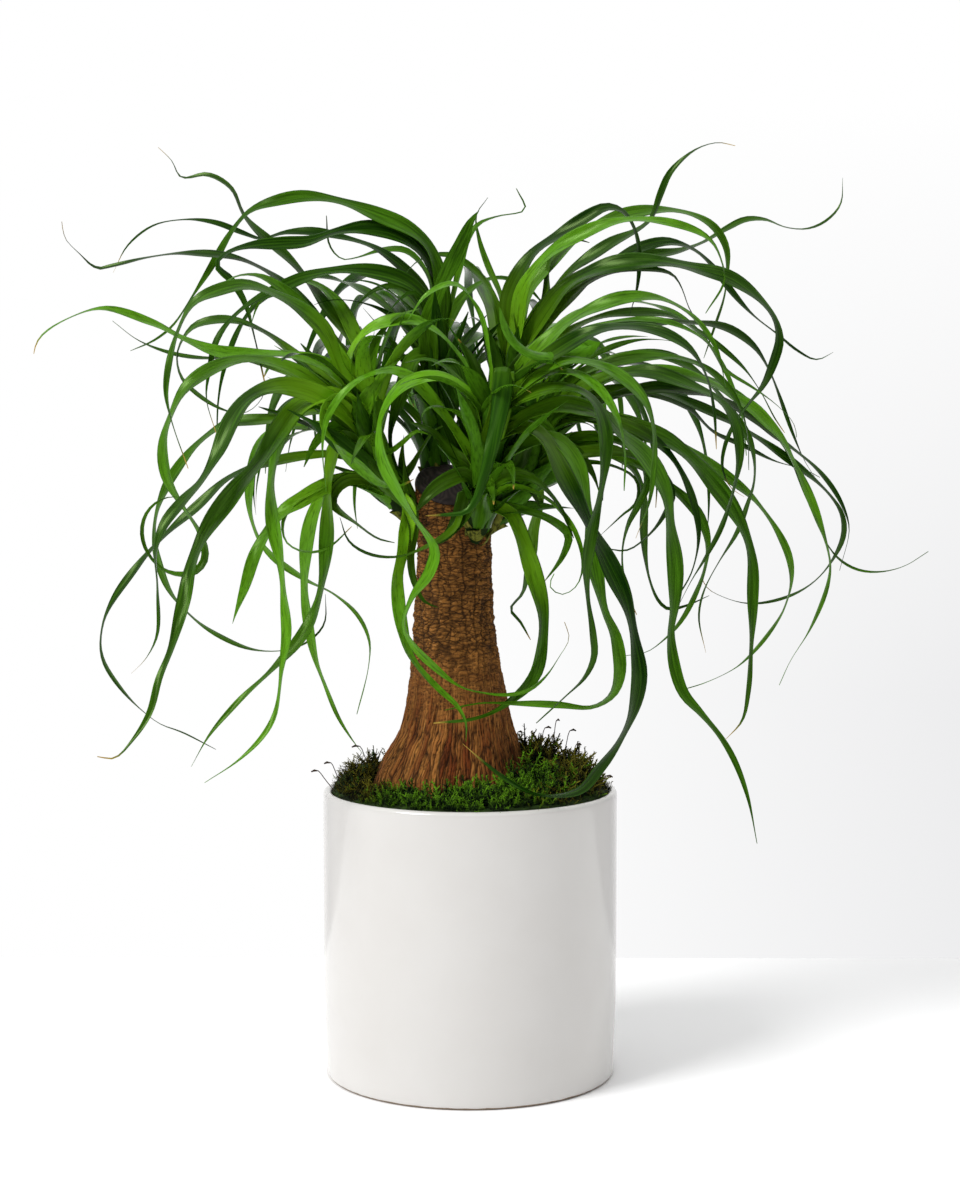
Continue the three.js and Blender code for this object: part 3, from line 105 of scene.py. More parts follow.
# The leaves that are drawn as seen from the eye point, on the upright plane through the pot's axis,
# and then moved along the line of sight. Each row gives the full width, the share of it that faces
# the eye at root and tip (below zero shows the underside, and none keeps the width level), the depth
# y at root, middle and tip, and the route as x, z pairs. Blunt leaves were cut off short.
EYE = np.array([6.75, -1616, 457.5])
ROUTES = {
    "front": [
        (15, (0.5, 0.85), (-38, -98, -66), (20, 432, 31, 438, 41, 438, 50, 431, 62, 408, 80, 372, 92, 350,
         104, 323, 111, 292, 114, 272, 110, 249, 100, 227, 87, 208, 76, 195, 62, 191, 44, 192, 24, 202, 10,
         213, -5, 226)),
        (12, (0.4, 0.8), (-38, -112, -88), (25, 452, 43, 463, 60, 466, 75, 463, 84, 455, 90, 438, 88, 405,
         81, 367, 78, 345, 79, 324, 83, 300, 84, 286, 78, 272, 64, 258, 45, 240)),
        (13, (0.5, 0.85), (-30, -74, -62), (40, 428, 56, 432, 70, 418, 78, 385, 83, 350, 90, 316, 98, 298,
         101, 275, 96, 260, 83, 252, 62, 253, 27, 254, 7, 254, -17, 249)),
        (14, (0.5, 0.9), (-38, -120, -150), (30, 441, 46, 451, 62, 455, 78, 452, 89, 447, 100, 436, 118,
         420, 130, 398, 134, 373, 138, 345, 137, 320, 135, 302, 138, 280, 145, 260, 156, 247, 171, 229, 181,
         212, 189, 190, 196, 157)),
        (12, (0.7, 0.9), (-36, -64, -58), (10, 386, 24, 382, 32, 369, 42, 343, 48, 317, 48, 295, 45, 276,
         38, 265, 30, 258, 17, 249, 1, 243, -25, 240)),
        (9, (0.6, 0.8), (-30, -46, -54), (17, 384, 36, 383, 57, 376, 66, 368, 63, 355, 49, 335)),
        (14, (), (-37, -72, -80), (12, 425, 20, 455, 24, 484, 22, 466, 17, 440, 11, 412, 4, 392, -3, 384,
         -15, 382, -30, 381)),
        (11, (0.5, 0.6), (-38, -82, -62), (8, 440, 4, 455, -8, 468, -24, 474, -44, 468, -57, 451, -60, 433,
         -57, 416, -50, 402, -36, 380, -23, 359, -27, 342, -38, 326, -44, 308, -39, 295, -25, 280, -5, 265,
         11, 261, 27, 260, 40, 263, 51, 272, 60, 285, 67, 298, 64, 309)),
        (10, (0.6, 0.7), (-36, -56, -50), (-1, 420, -12, 439, -20, 451, -36, 470, -52, 478, -72, 473, -87,
         461, -96, 446, -99, 428, -97, 398)),
        (4, (0.6, 0.6), (-36, -78, -66), (-3, 385, -10, 373, -29, 360, -49, 353, -68, 355, -82, 364, -88,
         380)),
        (10, (0.8, 0.8), (-34, -52, -60), (-3, 407, -14, 405, -25, 398, -36, 384), "blunt"),
        (10, (0.7, 0.8), (-34, -44, -48), (-3, 414, -12, 421, -25, 436, -40, 444), "blunt"),
        (13, (0.7, 0.6), (-36, -60, -70), (22, 452, 30, 470, 45, 490, 64, 508, 84, 520, 104, 527, 128, 526,
         150, 514, 165, 494, 172, 468)),
        (12, (0.7, 0.6), (-37, -92, -130), (24, 455, 36, 474, 56, 490, 80, 503, 102, 507, 126, 505, 146,
         494, 158, 476, 164, 452, 166, 426)),
        (11, (0.5, 0.7), (-38, -100, -150), (26, 458, 45, 477, 66, 484, 85, 482, 102, 474, 115, 461, 122,
         444, 124, 420, 121, 392, 112, 366)),
        (9, (0.6, 0.7), (-37, -86, -130), (22, 455, 46, 474, 68, 477, 86, 467, 98, 449, 104, 424, 104,
         398)),
        (10, (-0.8, -0.9), (-36, -62, -96), (20, 446, 40, 470, 64, 488, 84, 497, 74, 491, 57, 488, 43, 490,
         31, 497, 23, 509, 20, 521), "blunt"),
        (4, (0.7, 0.7), (-34, -60, -58), (26, 400, 52, 392, 70, 372, 76, 350, 72, 334, 62, 328, 54, 334, 57,
         342)),
        (13, (-0.8, 0.7), (-38, -60, -70), (14, 460, 12, 490, 4, 520, -10, 536, -28, 530, -42, 512)),
        (13, (0.7, 0.8), (-34, -46, -56), (2, 396, -4, 380, -13, 368, -24, 361), "blunt"),
        (11, (0.6, 0.7), (-34, -58, -60), (16, 402, 28, 408, 40, 406, 52, 397, 62, 384, 70, 366)),
        (13, (0.8, 0.7), (-36, -44, -34), (18, 440, 32, 448, 46, 444, 58, 430, 66, 412)),
        (12, (0.8, 0.6), (-34, -30, -22), (2, 440, -4, 462, -14, 478, -28, 486, -44, 484)),
        (13, (0.85, 0.8), (-37, -42, -50), (8, 450, 6, 470, 0, 488, -8, 500)),
        (13, (0.85, 0.8), (-37, -46, -44), (20, 452, 28, 474, 38, 492, 50, 504)),
    ],
    "left": [
        (10, (0.6, 0.6), (-6, 34, 74), (-72, 462, -78, 494, -98, 523, -122, 553, -151, 581, -160, 600, -175,
         609, -193, 607, -199, 618, -208, 627)),
        (9, (0.5, 0.5), (-6, 20, 46), (-74, 460, -84, 487, -98, 508, -130, 540, -160, 554, -200, 556, -238,
         549, -250, 547, -262, 557, -271, 567, -273, 578)),
        (11, (0.6, 0.6), (-8, -22, -34), (-76, 458, -94, 480, -120, 488, -147, 489, -170, 491, -192, 499,
         -213, 510, -246, 520, -278, 509, -290, 499, -293, 490)),
        (12, (0.6, 0.65), (-8, -50, -76), (-76, 460, -88, 478, -98, 504, -112, 518, -132, 529, -150, 535,
         -168, 532, -184, 524, -196, 503, -204, 468, -201, 447, -190, 413)),
        (9, (0.5, 0.5), (-6, 2, 12), (-80, 455, -98, 473, -116, 487, -137, 503, -156, 511, -172, 512, -186,
         507, -196, 491, -194, 476, -185, 465, -166, 453, -151, 451, -141, 459, -137, 469)),
        (11, (0.6, 0.65), (-8, -62, -100), (-80, 450, -98, 464, -116, 477, -137, 484, -154, 485, -174, 479,
         -190, 467, -200, 449, -206, 429, -204, 408, -193, 388, -181, 368, -179, 352, -186, 343, -197, 341,
         -209, 345, -219, 357, -222, 371, -218, 384, -207, 393, -190, 394)),
        (6, (0.6, 0.6), (-6, 14, 32), (-84, 455, -105, 468, -127, 479, -151, 486, -182, 487, -203, 491,
         -223, 499, -240, 512)),
        (13, (0.95, 0.4), (-8, -84, -124), (-82, 448, -100, 461, -119, 467, -135, 466, -150, 458, -161, 443,
         -170, 421, -181, 403, -194, 390, -206, 375, -212, 355, -211, 330, -212, 300, -220, 284, -230,
         274)),
        (9, (0.6, 0.6), (-6, 34, 62), (-80, 446, -100, 451, -128, 446, -162, 443, -177, 434, -191, 420,
         -204, 401, -212, 377, -211, 354, -203, 331, -188, 313, -168, 299, -148, 291, -127, 290, -110, 296,
         -99, 308, -98, 328)),
        (14, (0.7, 0.9), (-8, -88, -142), (-78, 448, -88, 459, -102, 460, -117, 452, -128, 438, -140, 418,
         -157, 399, -173, 378, -186, 352, -194, 322, -202, 291, -211, 270, -218, 247, -229, 229, -242, 216,
         -254, 217)),
        (12, (0.6, 0.7), (-8, -70, -112), (-78, 440, -92, 452, -108, 455, -122, 443, -129, 425, -133, 400,
         -132, 375, -127, 350, -125, 325, -124, 300, -127, 278, -132, 247, -141, 231, -158, 214, -181,
         199)),
        (12, (0.6, 0.7), (-8, -40, -62), (-76, 432, -87, 430, -93, 412, -95, 386, -96, 364, -98, 340, -104,
         317, -114, 299, -134, 276, -158, 254, -177, 232, -190, 210)),
        (10, (0.8, 0.8), (-8, -26, -42), (-85, 404, -101, 399, -114, 391, -125, 384, -136, 370, -146, 352,
         -153, 330, -161, 308), "blunt"),
        (8, (0.6, 0.6), (-4, 50, 82), (-84, 436, -105, 441, -128, 440, -141, 431, -147, 411, -148, 386,
         -142, 366, -132, 353, -112, 339, -91, 328, -76, 314, -68, 296, -69, 277, -77, 246)),
        (8, (0.6, 0.6), (-6, -18, -34), (-86, 420, -110, 421, -140, 415, -162, 406, -183, 388, -204, 369,
         -221, 351, -240, 326, -249, 305, -249, 285, -237, 264, -213, 241, -196, 234, -173, 222)),
        (10, (0.8, 0.8), (-4, 40, 78), (-84, 405, -98, 395, -108, 373, -111, 345, -110, 314, -105, 286, -98,
         266, -90, 245, -81, 230, -73, 219)),
        (5, (0.7, 0.7), (-8, -24, -36), (-88, 404, -106, 398, -120, 389, -126, 376, -124, 364, -115, 358,
         -104, 357, -94, 361, -80, 374)),
        (9, (0.7, 0.7), (-8, -24, -34), (-78, 405, -89, 400, -92, 390, -77, 377, -62, 366, -51, 363)),
        (12, (0.5, 0.7), (-9, -24, -30), (-74, 458, -81, 476, -78, 492, -69, 504, -55, 511, -38, 512, -22,
         504, -10, 492, 2, 476, 10, 455)),
        (12, (-0.5, 0.8), (-9, -56, -62), (-74, 452, -84, 462, -95, 457, -97, 441, -86, 426, -74, 415, -60,
         404, -48, 402, -38, 406), "blunt"),
        (10, (0.7, 0.8), (-9, -62, -62), (-50, 396, -43, 386, -45, 366, -50, 340, -49, 322, -46, 303, -42,
         288, -33, 275, -20, 262, -9, 252, -3, 240, -3, 227)),
        (11, (0.8, 0.8), (-8, -14, -20), (-70, 462, -67, 484, -60, 502, -48, 515, -34, 520)),
        (12, (0.7, 0.7), (-8, -20, -20), (-76, 462, -90, 490, -106, 514, -124, 532, -143, 542, -160, 540,
         -172, 528)),
        (11, (0.8, 0.7), (-7, 20, 40), (-72, 462, -76, 496, -88, 522, -104, 536, -124, 538, -140, 526, -148,
         506)),
        (9, (0.7, 0.7), (-9, -44, -52), (-44, 392, -40, 372, -41, 352, -38, 336, -31, 323, -22, 319)),
        (8, (0.7, 0.8), (-6, 2, 6), (-58, 410, -48, 405, -40, 412, -32, 426, -24, 438, -14, 444)),
        (8, (0.7, 0.8), (-8, -18, -20), (-64, 424, -54, 423, -45, 430, -36, 438, -28, 436)),
        (13, (0.8, 0.8), (-9, -20, -24), (-72, 448, -64, 466, -54, 480, -42, 490)),
        (12, (0.8, 0.8), (-9, -22, -30), (-78, 438, -92, 440, -104, 430, -112, 414)),
    ],
    "right": [
        (14, (0.7, 0.85), (10, -34, -44), (60, 448, 85, 446, 103, 441, 118, 437, 134, 430, 147, 420, 161,
         406, 173, 391, 184, 371, 190, 350, 191, 320, 190, 290, 189, 262, 185, 242, 174, 229)),
        (9, (0.6, 0.6), (12, 38, 64), (66, 442, 100, 446, 130, 434, 154, 421, 172, 408, 190, 393, 206, 372,
         215, 354, 217, 338, 213, 320, 206, 307, 194, 291, 180, 278, 160, 268, 141, 262)),
        (10, (0.6, 0.6), (12, -6, -24), (66, 450, 92, 459, 113, 465, 130, 467, 147, 464, 163, 461, 180, 453,
         195, 444, 206, 434, 221, 423, 234, 412, 245, 399, 253, 384, 256, 371, 250, 344)),
        (8, (0.6, 0.6), (14, 50, 78), (70, 458, 110, 466, 155, 454, 198, 430, 226, 410, 243, 394, 251, 381,
         252, 368, 245, 352, 234, 338, 216, 327, 194, 322, 178, 324, 160, 333, 157, 341)),
        (11, (0.6, 0.6), (12, -22, -56), (64, 456, 98, 474, 132, 477, 160, 470, 176, 461, 190, 453, 201,
         442, 211, 430, 217, 418, 227, 398, 236, 375, 243, 350, 242, 336, 238, 322, 229, 302, 217, 282, 210,
         266)),
        (6, (0.6, 0.6), (14, 44, 72), (68, 462, 124, 478, 172, 468, 208, 432, 227, 395, 236, 372, 247, 354,
         261, 345, 277, 343, 294, 347, 310, 357)),
        (11, (0.6, 0.7), (12, -50, -84), (62, 456, 92, 474, 122, 477, 150, 467, 170, 456, 179, 440, 181,
         421, 178, 403, 174, 387, 168, 370, 159, 353, 150, 338, 141, 320)),
        (8, (0.6, 0.6), (14, 26, 34), (64, 460, 96, 486, 132, 488, 158, 472, 176, 450, 187, 434, 191, 418,
         191, 404, 187, 390, 181, 372, 168, 350, 158, 330, 155, 312, 160, 288)),
        (9, (0.7, 0.7), (10, -28, -58), (64, 426, 96, 424, 120, 411, 135, 400, 146, 391, 155, 380, 160, 363,
         158, 345, 153, 330, 146, 315, 139, 305, 131, 297, 120, 289, 104, 286)),
        (8, (0.7, 0.7), (12, 36, 56), (58, 424, 86, 426, 108, 414, 116, 396, 117, 371, 118, 354, 121, 338,
         127, 324, 134, 318, 146, 320, 162, 327)),
        (7, (0.7, 0.7), (10, -12, -22), (60, 430, 90, 434, 112, 422, 119, 404, 113, 388, 107, 377, 103, 362,
         103, 345, 108, 325, 113, 314)),
        (8, (0.8, 0.8), (10, -30, -48), (60, 420, 96, 424, 124, 414, 136, 396, 129, 379, 118, 366, 106, 358,
         92, 359)),
        (4, (0.7, 0.7), (10, -4, -10), (58, 414, 90, 416, 112, 405, 112, 390, 103, 382, 87, 367)),
        (8, (0.6, 0.6), (14, 46, 66), (66, 452, 96, 462, 128, 462, 147, 453, 164, 437, 185, 428, 205, 418,
         226, 412, 236, 407)),
        (9, (0.8, 0.7), (4, 14, 24), (42, 405, 45, 390, 42, 371, 41, 355, 38, 341, 35, 329, 27, 318, 34,
         309, 41, 297)),
        (10, (0.7, 0.6), (12, -16, -30), (56, 452, 72, 474, 98, 485, 122, 488, 142, 486, 160, 479, 176, 464,
         186, 440, 188, 412)),
        (9, (0.7, 0.7), (10, -30, -66), (60, 440, 84, 447, 110, 440, 132, 424, 147, 400, 154, 372, 150, 344,
         138, 322)),
        (13, (0.8, 0.8), (8, -6, -8), (40, 430, 34, 416, 22, 408, 10, 412)),
        (12, (0.8, 0.7), (10, -12, -18), (54, 428, 70, 424, 82, 410, 88, 394)),
        (13, (0.8, 0.8), (10, 2, 0), (52, 452, 58, 470, 68, 484, 82, 490)),
        (13, (0.8, 0.7), (10, -8, -12), (56, 444, 68, 452, 82, 452, 94, 442)),
    ],
    "back": [
        (9, (0.6, 0.6), (38, 24, 6), (48, 490, 84, 506, 120, 510, 149, 510, 172, 507, 189, 496, 200, 480,
         208, 461, 217, 437, 225, 419, 236, 402)),
        (10, (0.6, 0.6), (38, 64, 88), (44, 500, 75, 535, 99, 552, 114, 560, 132, 564, 149, 559, 161, 549,
         173, 534, 188, 517, 206, 503, 220, 492, 233, 486, 244, 491)),
        (13, (0.7, 0.7), (37, 2, -30), (40, 500, 62, 532, 80, 543, 102, 550, 128, 550, 151, 546, 174, 540,
         191, 528, 203, 514, 207, 500, 204, 486, 197, 470, 187, 457, 179, 446, 172, 430, 170, 414, 176, 400,
         185, 394)),
        (8, (0.6, 0.6), (38, 58, 82), (48, 492, 88, 514, 130, 516, 156, 503, 171, 492, 184, 480, 195, 465,
         205, 447, 212, 437)),
        (5, (0.6, 0.6), (37, -8, -56), (46, 488, 84, 508, 128, 512, 157, 499, 172, 479, 189, 468, 207, 455,
         218, 443, 220, 434)),
        (11, (0.5, 0.7), (38, 44, 36), (40, 496, 52, 520, 64, 540, 78, 552, 94, 563, 113, 572, 122, 580,
         128, 597, 133, 609, 142, 619, 154, 627, 166, 630, 177, 628)),
        (12, (0.7, 0.7), (36, 24, 12), (30, 500, 26, 524, 41, 554, 61, 569, 80, 582, 92, 587, 102, 584, 109,
         574, 113, 558, 112, 535, 107, 516)),
        (12, (0.6, 0.7), (38, 66, 84), (34, 502, 42, 534, 64, 560, 100, 581, 127, 585, 148, 582, 163, 574,
         171, 561, 172, 545, 170, 528, 165, 511, 157, 487)),
        (11, (0.7, 0.7), (36, 4, -24), (32, 500, 36, 532, 54, 556, 78, 571, 102, 578, 127, 578, 148, 573,
         161, 565, 168, 552, 170, 538, 158, 517)),
        (9, (0.6, 0.5), (39, 80, 112), (44, 496, 62, 530, 84, 547, 113, 555, 140, 558, 157, 564, 172, 573,
         184, 579, 197, 579, 211, 574, 226, 573, 239, 579, 248, 590, 249, 607)),
        (8, (0.7, 0.6), (37, 14, -4), (44, 500, 70, 530, 98, 545, 124, 546, 136, 542, 142, 533, 147, 520,
         157, 505)),
        (10, (0.8, 0.7), (38, 48, 56), (40, 496, 51, 520, 53, 548, 58, 560, 70, 566, 80, 564)),
        (8, (0.8, 0.7), (37, 42, 46), (22, 500, 14, 530, 0, 548, -16, 556, -34, 552, -46, 540)),
        (7, (0.7, 0.7), (38, 56, 66), (24, 502, 20, 528, 12, 548, 6, 566, 4, 582, 12, 594)),
    ],
    "centre": [
        (13, (0.7, 0.7), (31, 14, -8), (-22, 500, -20, 530, -34, 558, -49, 569, -69, 573, -89, 570, -108,
         564, -126, 563, -148, 561, -163, 556, -169, 549, -160, 540, -150, 523, -144, 500, -137, 466)),
        (12, (0.7, 0.7), (32, 50, 72), (-21, 505, -20, 535, -28, 560, -42, 573, -65, 583, -90, 591, -112,
         594, -130, 591, -147, 584, -158, 572, -176, 543, -187, 526, -199, 509, -212, 499, -228, 492)),
        (8, (0.6, 0.6), (33, 70, 104), (-24, 500, -30, 530, -44, 546, -64, 560, -86, 567, -105, 571, -124,
         570, -140, 566, -152, 570, -170, 577, -191, 579, -212, 575, -229, 562, -239, 544)),
        (12, (0.7, 0.7), (30, 2, -22), (-22, 490, -26, 518, -38, 534, -55, 542, -81, 545, -108, 541, -130,
         532, -150, 521, -163, 509, -171, 496, -175, 478, -177, 460, -171, 437)),
        (7, (0.7, 0.7), (32, 58, 70), (-28, 495, -34, 520, -46, 534, -60, 534, -73, 525, -84, 508)),
        (6, (0.7, 0.7), (29, 14, 2), (-26, 495, -30, 520, -38, 531, -48, 525, -58, 513)),
        (7, (0.6, 0.6), (34, 80, 98), (-24, 505, -28, 540, -42, 558, -58, 559, -75, 554, -86, 553, -94, 562,
         -96, 582)),
        (8, (0.7, 0.6), (33, 42, 46), (-18, 500, -10, 530, -6, 549, -2, 565, 6, 576, 18, 581, 37, 586, 31,
         600)),
        (12, (0.8, 0.9), (30, 4, -10), (-26, 490, -27, 510, -20, 530, -13, 547, -6, 562, 1, 578, 6, 585),
         "blunt"),
        (9, (0.7, 0.7), (34, 70, 96), (-18, 500, -4, 528, 16, 540, 36, 536, 52, 520)),
        (10, (0.7, 0.7), (30, 14, 4), (-32, 470, -46, 486, -62, 492, -78, 486, -88, 470, -92, 450)),
        (13, (0.8, 0.7), (30, 10, -4), (-28, 486, -36, 486, -43, 470, -49, 452, -53, 434, -50, 416, -44,
         405)),
        (14, (0.8, 0.8), (30, 8, 0), (-20, 484, -12, 482, -6, 466, -2, 448, -1, 430)),
        (12, (0.8, 0.8), (31, 16, 8), (-24, 484, -22, 474, -16, 458, -14, 440, -18, 424)),
    ],
}

# Leaves that follow a rule fill each head where the view can't part them and round the back: the
# head, the lowest root, how many, the first bearing and the sweep round the stem in degrees, the
# shortest and the longest, and the slope at the root and the whole bend in degrees.
FILLS = [
    ("front", 420, 5, 200, 160, 90, 130, 78, 90),
    ("left", 420, 6, 120, 200, 100, 150, 76, 90),
    ("right", 420, 5, -60, 180, 100, 150, 76, 95),
    ("centre", 420, 6, 40, 220, 90, 150, 80, 90),
    ("back", 420, 6, -50, 230, 90, 150, 80, 90),
    ("left", 420, 7, 80, 62, 190, 300, 60, 140),
    ("right", 420, 7, 40, 62, 190, 300, 60, 140),
    ("centre", 420, 8, 60, 90, 220, 360, 62, 145),
    ("back", 420, 8, 35, 85, 220, 360, 62, 145),
    ("front", 376, 3, 190, 160, 55, 90, 54, 90),
    ("left", 376, 3, 90, 220, 55, 100, 52, 95),
    ("right", 376, 4, -110, 200, 55, 100, 52, 95),
    ("centre", 396, 2, 70, 200, 60, 110, 56, 95),
    ("back", 396, 2, -40, 200, 60, 110, 56, 95),
]
FILL_SEED = 57
FILL_TRIES = 14
FILL_STEPS = 14
# How far these leaves stray: up the stem in mm, then in degrees. The bend grows with a power of
# the length, and their widths are in mm.
FILL_ROOTS = 60
FILL_LAUNCH = 14
FILL_DROOP = 30
FILL_BEND = 1.15
FILL_SWAY = 80
FILL_ROLL = 60
FILL_WIDTHS = (8, 13)

# A leaf that would touch a leaf of another head is swung this far in depth instead.
SWINGS = (0, -10, 10, -20, 20, -30, 30, -42, 42, -55, 55)

# A blade in the solids, which the leaves here follow: a shallow channel, drawn out at the tip.
BLADE_CHANNEL = 0.16
BLADE_THICKNESS = 1.2
TIP_THICKNESS = 0.6
TIP_WIDTH = 0.7
ROOT_SHARE = 0.62
ROOT_SPAN = 0.16
TAPER = 2.3
BLUNT_TAPER = 9

# The room that a leaf keeps from other heads and from the body, and how near others are looked for.
LEAF_GAP = 0.5
BODY_ROOM = 1
NEAR_LEAVES = 140

# A section of a solid leaf: its length and turn at most, and how many a leaf has.
SECTION_LENGTH = 120
SECTION_TURN = math.radians(49)
FEWEST_SECTIONS = 3
MOST_SECTIONS = 13

# The camera stands at the eye point: pitch from straight down in degrees, and lens in millimetres.
CAMERA_PITCH = 85.28
CAMERA_LENS = 71.8


def colour(text):
    """The linear values that a shader takes for an sRGB hex colour."""
    parts = [int(text[place : place + 2], 16) / 255 for place in (1, 3, 5)]
    return (*[part / 12.92 if part <= 0.04045 else ((part + 0.055) / 1.055) ** 2.4 for part in parts], 1)


def smooth(value, low, high):
    """Nought below low and one above high, with a soft change between them."""
    share = np.clip((value - low) / (high - low), 0, 1)
    return share * share * (3 - 2 * share)


def random_from(seed):
    """The same random numbers from 0 to 1 each time: a small 32-bit mixer."""
    mask = 0xFFFFFFFF
    state = seed

    def draw():
        nonlocal state
        state = (state + 0x6D2B79F5) & mask
        mixed = ((state ^ (state >> 15)) * (state | 1)) & mask
        mixed ^= (mixed + (mixed ^ (mixed >> 7)) * (mixed | 61)) & mask
        return (mixed ^ (mixed >> 14)) / 4294967296

    return draw


class Curve:
    """A smooth curve through points (a centripetal Catmull-Rom spline), measured by its own length."""

    DIVISIONS = 200
    LEAST = 1e-4

    def __init__(self, points):
        self.points = np.array(points, float)
        self.marks = np.arange(self.DIVISIONS + 1) / self.DIVISIONS
        steps = np.linalg.norm(np.diff(self.at(self.marks), axis=0), axis=1)
        self.lengths = np.concatenate([[0], np.cumsum(steps)])

    def at(self, marks):
        """Points at marks from 0 to 1, the same number of marks to each stretch between points."""
        rows = self.points
        place = np.atleast_1d(marks) * (len(rows) - 1)
        start = np.minimum(np.floor(place).astype(int), len(rows) - 2)
        weight = (place - start)[:, None]
        rows = np.vstack([2 * rows[0] - rows[1], rows, 2 * rows[-1] - rows[-2]])
        before, first, second, after = (rows[start + step] for step in range(4))
        pairs = ((before, first), (first, second), (second, after))
        gaps = [np.sum((b - a) ** 2, axis=1, keepdims=True) ** 0.25 for a, b in pairs]
        middle = np.where(gaps[1] < self.LEAST, 1, gaps[1])
        early = np.where(gaps[0] < self.LEAST, middle, gaps[0])
        late = np.where(gaps[2] < self.LEAST, middle, gaps[2])
        leave = (first - before) / early - (second - before) / (early + middle) + (second - first) / middle
        arrive = (second - first) / middle - (after - first) / (middle + late) + (after - second) / late
        leave, arrive = leave * middle, arrive * middle
        square = 3 * (second - first) - 2 * leave - arrive
        cube = 2 * (first - second) + leave + arrive
        return first + weight * (leave + weight * (square + weight * cube))

    def marks_at(self, shares):
        """Marks at shares of the length."""
        return np.interp(np.atleast_1d(shares) * self.lengths[-1], self.lengths, self.marks)

    def point(self, shares):
        """Points at shares of the length."""
        return self.at(self.marks_at(shares))

    def direction(self, shares):
        """Directions at shares of the length."""
        marks = self.marks_at(shares)
        before, after = np.maximum(marks - self.LEAST, 0), np.minimum(marks + self.LEAST, 1)
        step = self.at(after) - self.at(before)
        return step / np.linalg.norm(step, axis=1, keepdims=True)


# Forms shared with the solids: the trunk, its cut and the moss.
def trunk_at(height):
    """The trunk's middle x and radius at heights, from its outline."""
    levels, left, right = np.array(TRUNK_OUTLINE, float).T
    low = np.interp(height, levels, left)
    high = np.interp(height, levels, right)
    return (low + high) / 2, (high - low) / 2


def ridge(angle, height):
    """Buttress ridges swell the foot of the trunk and die out towards the top."""
    strength = 0.015 + 0.05 * (1 - smooth(height, 190, 300))
    return 1 + strength * sum(share * np.cos(count * angle + turn) for count, turn, share in RIDGES)


def cut_plane(x, y):
    """The height of the cut under its dome."""
    return CUT_HEIGHT + CUT_SLOPE * y - CUT_TILT * (x - CUT_MIDDLE)


def moss_height(x, y):
    """Moss is level with the rim in front, and higher behind and at the right."""
    reach = np.hypot(x, y) / (POT_RADIUS - POT_WALL)
    rise = MOSS_FRONT_RISE + MOSS_BACK_RISE * smooth(y, -15, 25)
    height = MOSS_RIM_HEIGHT + rise * (1 - reach**2.4)
    for clump_x, clump_y, swell, spread_out in MOSS_CLUMPS:
        height = height + swell * np.exp(-((x - clump_x) ** 2 + (y - clump_y) ** 2) / spread_out)
    return height


# Leaves, placed as the solids' leaves are.
def stem_point(head, height):
    """The point on a head's stem nearest a wanted height."""
    points = Curve([row[:3] for row in STEMS[head]]).at(STEM_MARKS)
    return points[np.argmin(np.abs(points[:, 2] - height))]


def at_depth(points, depth):
    """Moves points on the upright plane along the line of sight to depth y."""
    scale = (1 + depth / -EYE[1])[:, None]
    moved = EYE + (points - EYE) * scale
    moved[:, 1] = depth
    return moved


def seen_at(point):
    """Where a point is seen on the upright plane."""
    scale = 1 + point[1] / -EYE[1]
    return EYE[0] + (point[0] - EYE[0]) / scale, EYE[2] + (point[2] - EYE[2]) / scale


def sections(leaf, shares):
    """A leaf at shares of its length: middle, width direction, upper side, half width, thickness."""
    middle = leaf["curve"].point(shares)
    along = leaf["curve"].direction(shares)
    across = leaf["facing"](shares, along)
    across = across - along * np.sum(across * along, axis=1, keepdims=True)
    across = across / np.linalg.norm(across, axis=1, keepdims=True)
    root = ROOT_SHARE + (1 - ROOT_SHARE) * smooth(shares, 0, ROOT_SPAN)
    taper = 1 - shares ** (BLUNT_TAPER if leaf.get("blunt") else TAPER)
    half = (leaf["wide"] * root * taper + TIP_WIDTH) / 2
    thickness = np.maximum(TIP_THICKNESS, BLADE_THICKNESS * (1 - shares * 0.5))
    up = np.cross(along, across)
    return {"middle": middle, "across": across, "up": up, "half": half, "thickness": thickness}


def solid_shares(curve):
    """Shares of the length at which the solid leaf has a section, closer where it bends."""
    fine = 90
    steps = np.diff(curve.point(np.arange(fine + 1) / fine), axis=0)
    size = np.linalg.norm(steps, axis=1)
    cosine = np.sum(steps[1:] * steps[:-1], axis=1) / (size[1:] * size[:-1])
    turn = np.append(np.arccos(np.clip(cosine, -1, 1)), 0)
    cost = np.concatenate([[0], np.cumsum(size / SECTION_LENGTH + turn / SECTION_TURN)])
    count = int(np.clip(math.floor(cost[-1] + 0.5), FEWEST_SECTIONS, MOST_SECTIONS))
    shares = []
    for section in range(count + 1):
        wanted = cost[-1] * section / count
        step = max(1, int(np.argmax(cost >= wanted - 1e-9)))
        part = (wanted - cost[step - 1]) / (cost[step] - cost[step - 1])
        shares.append(min(1, (step - 1 + part) / fine))
    return np.array(shares)


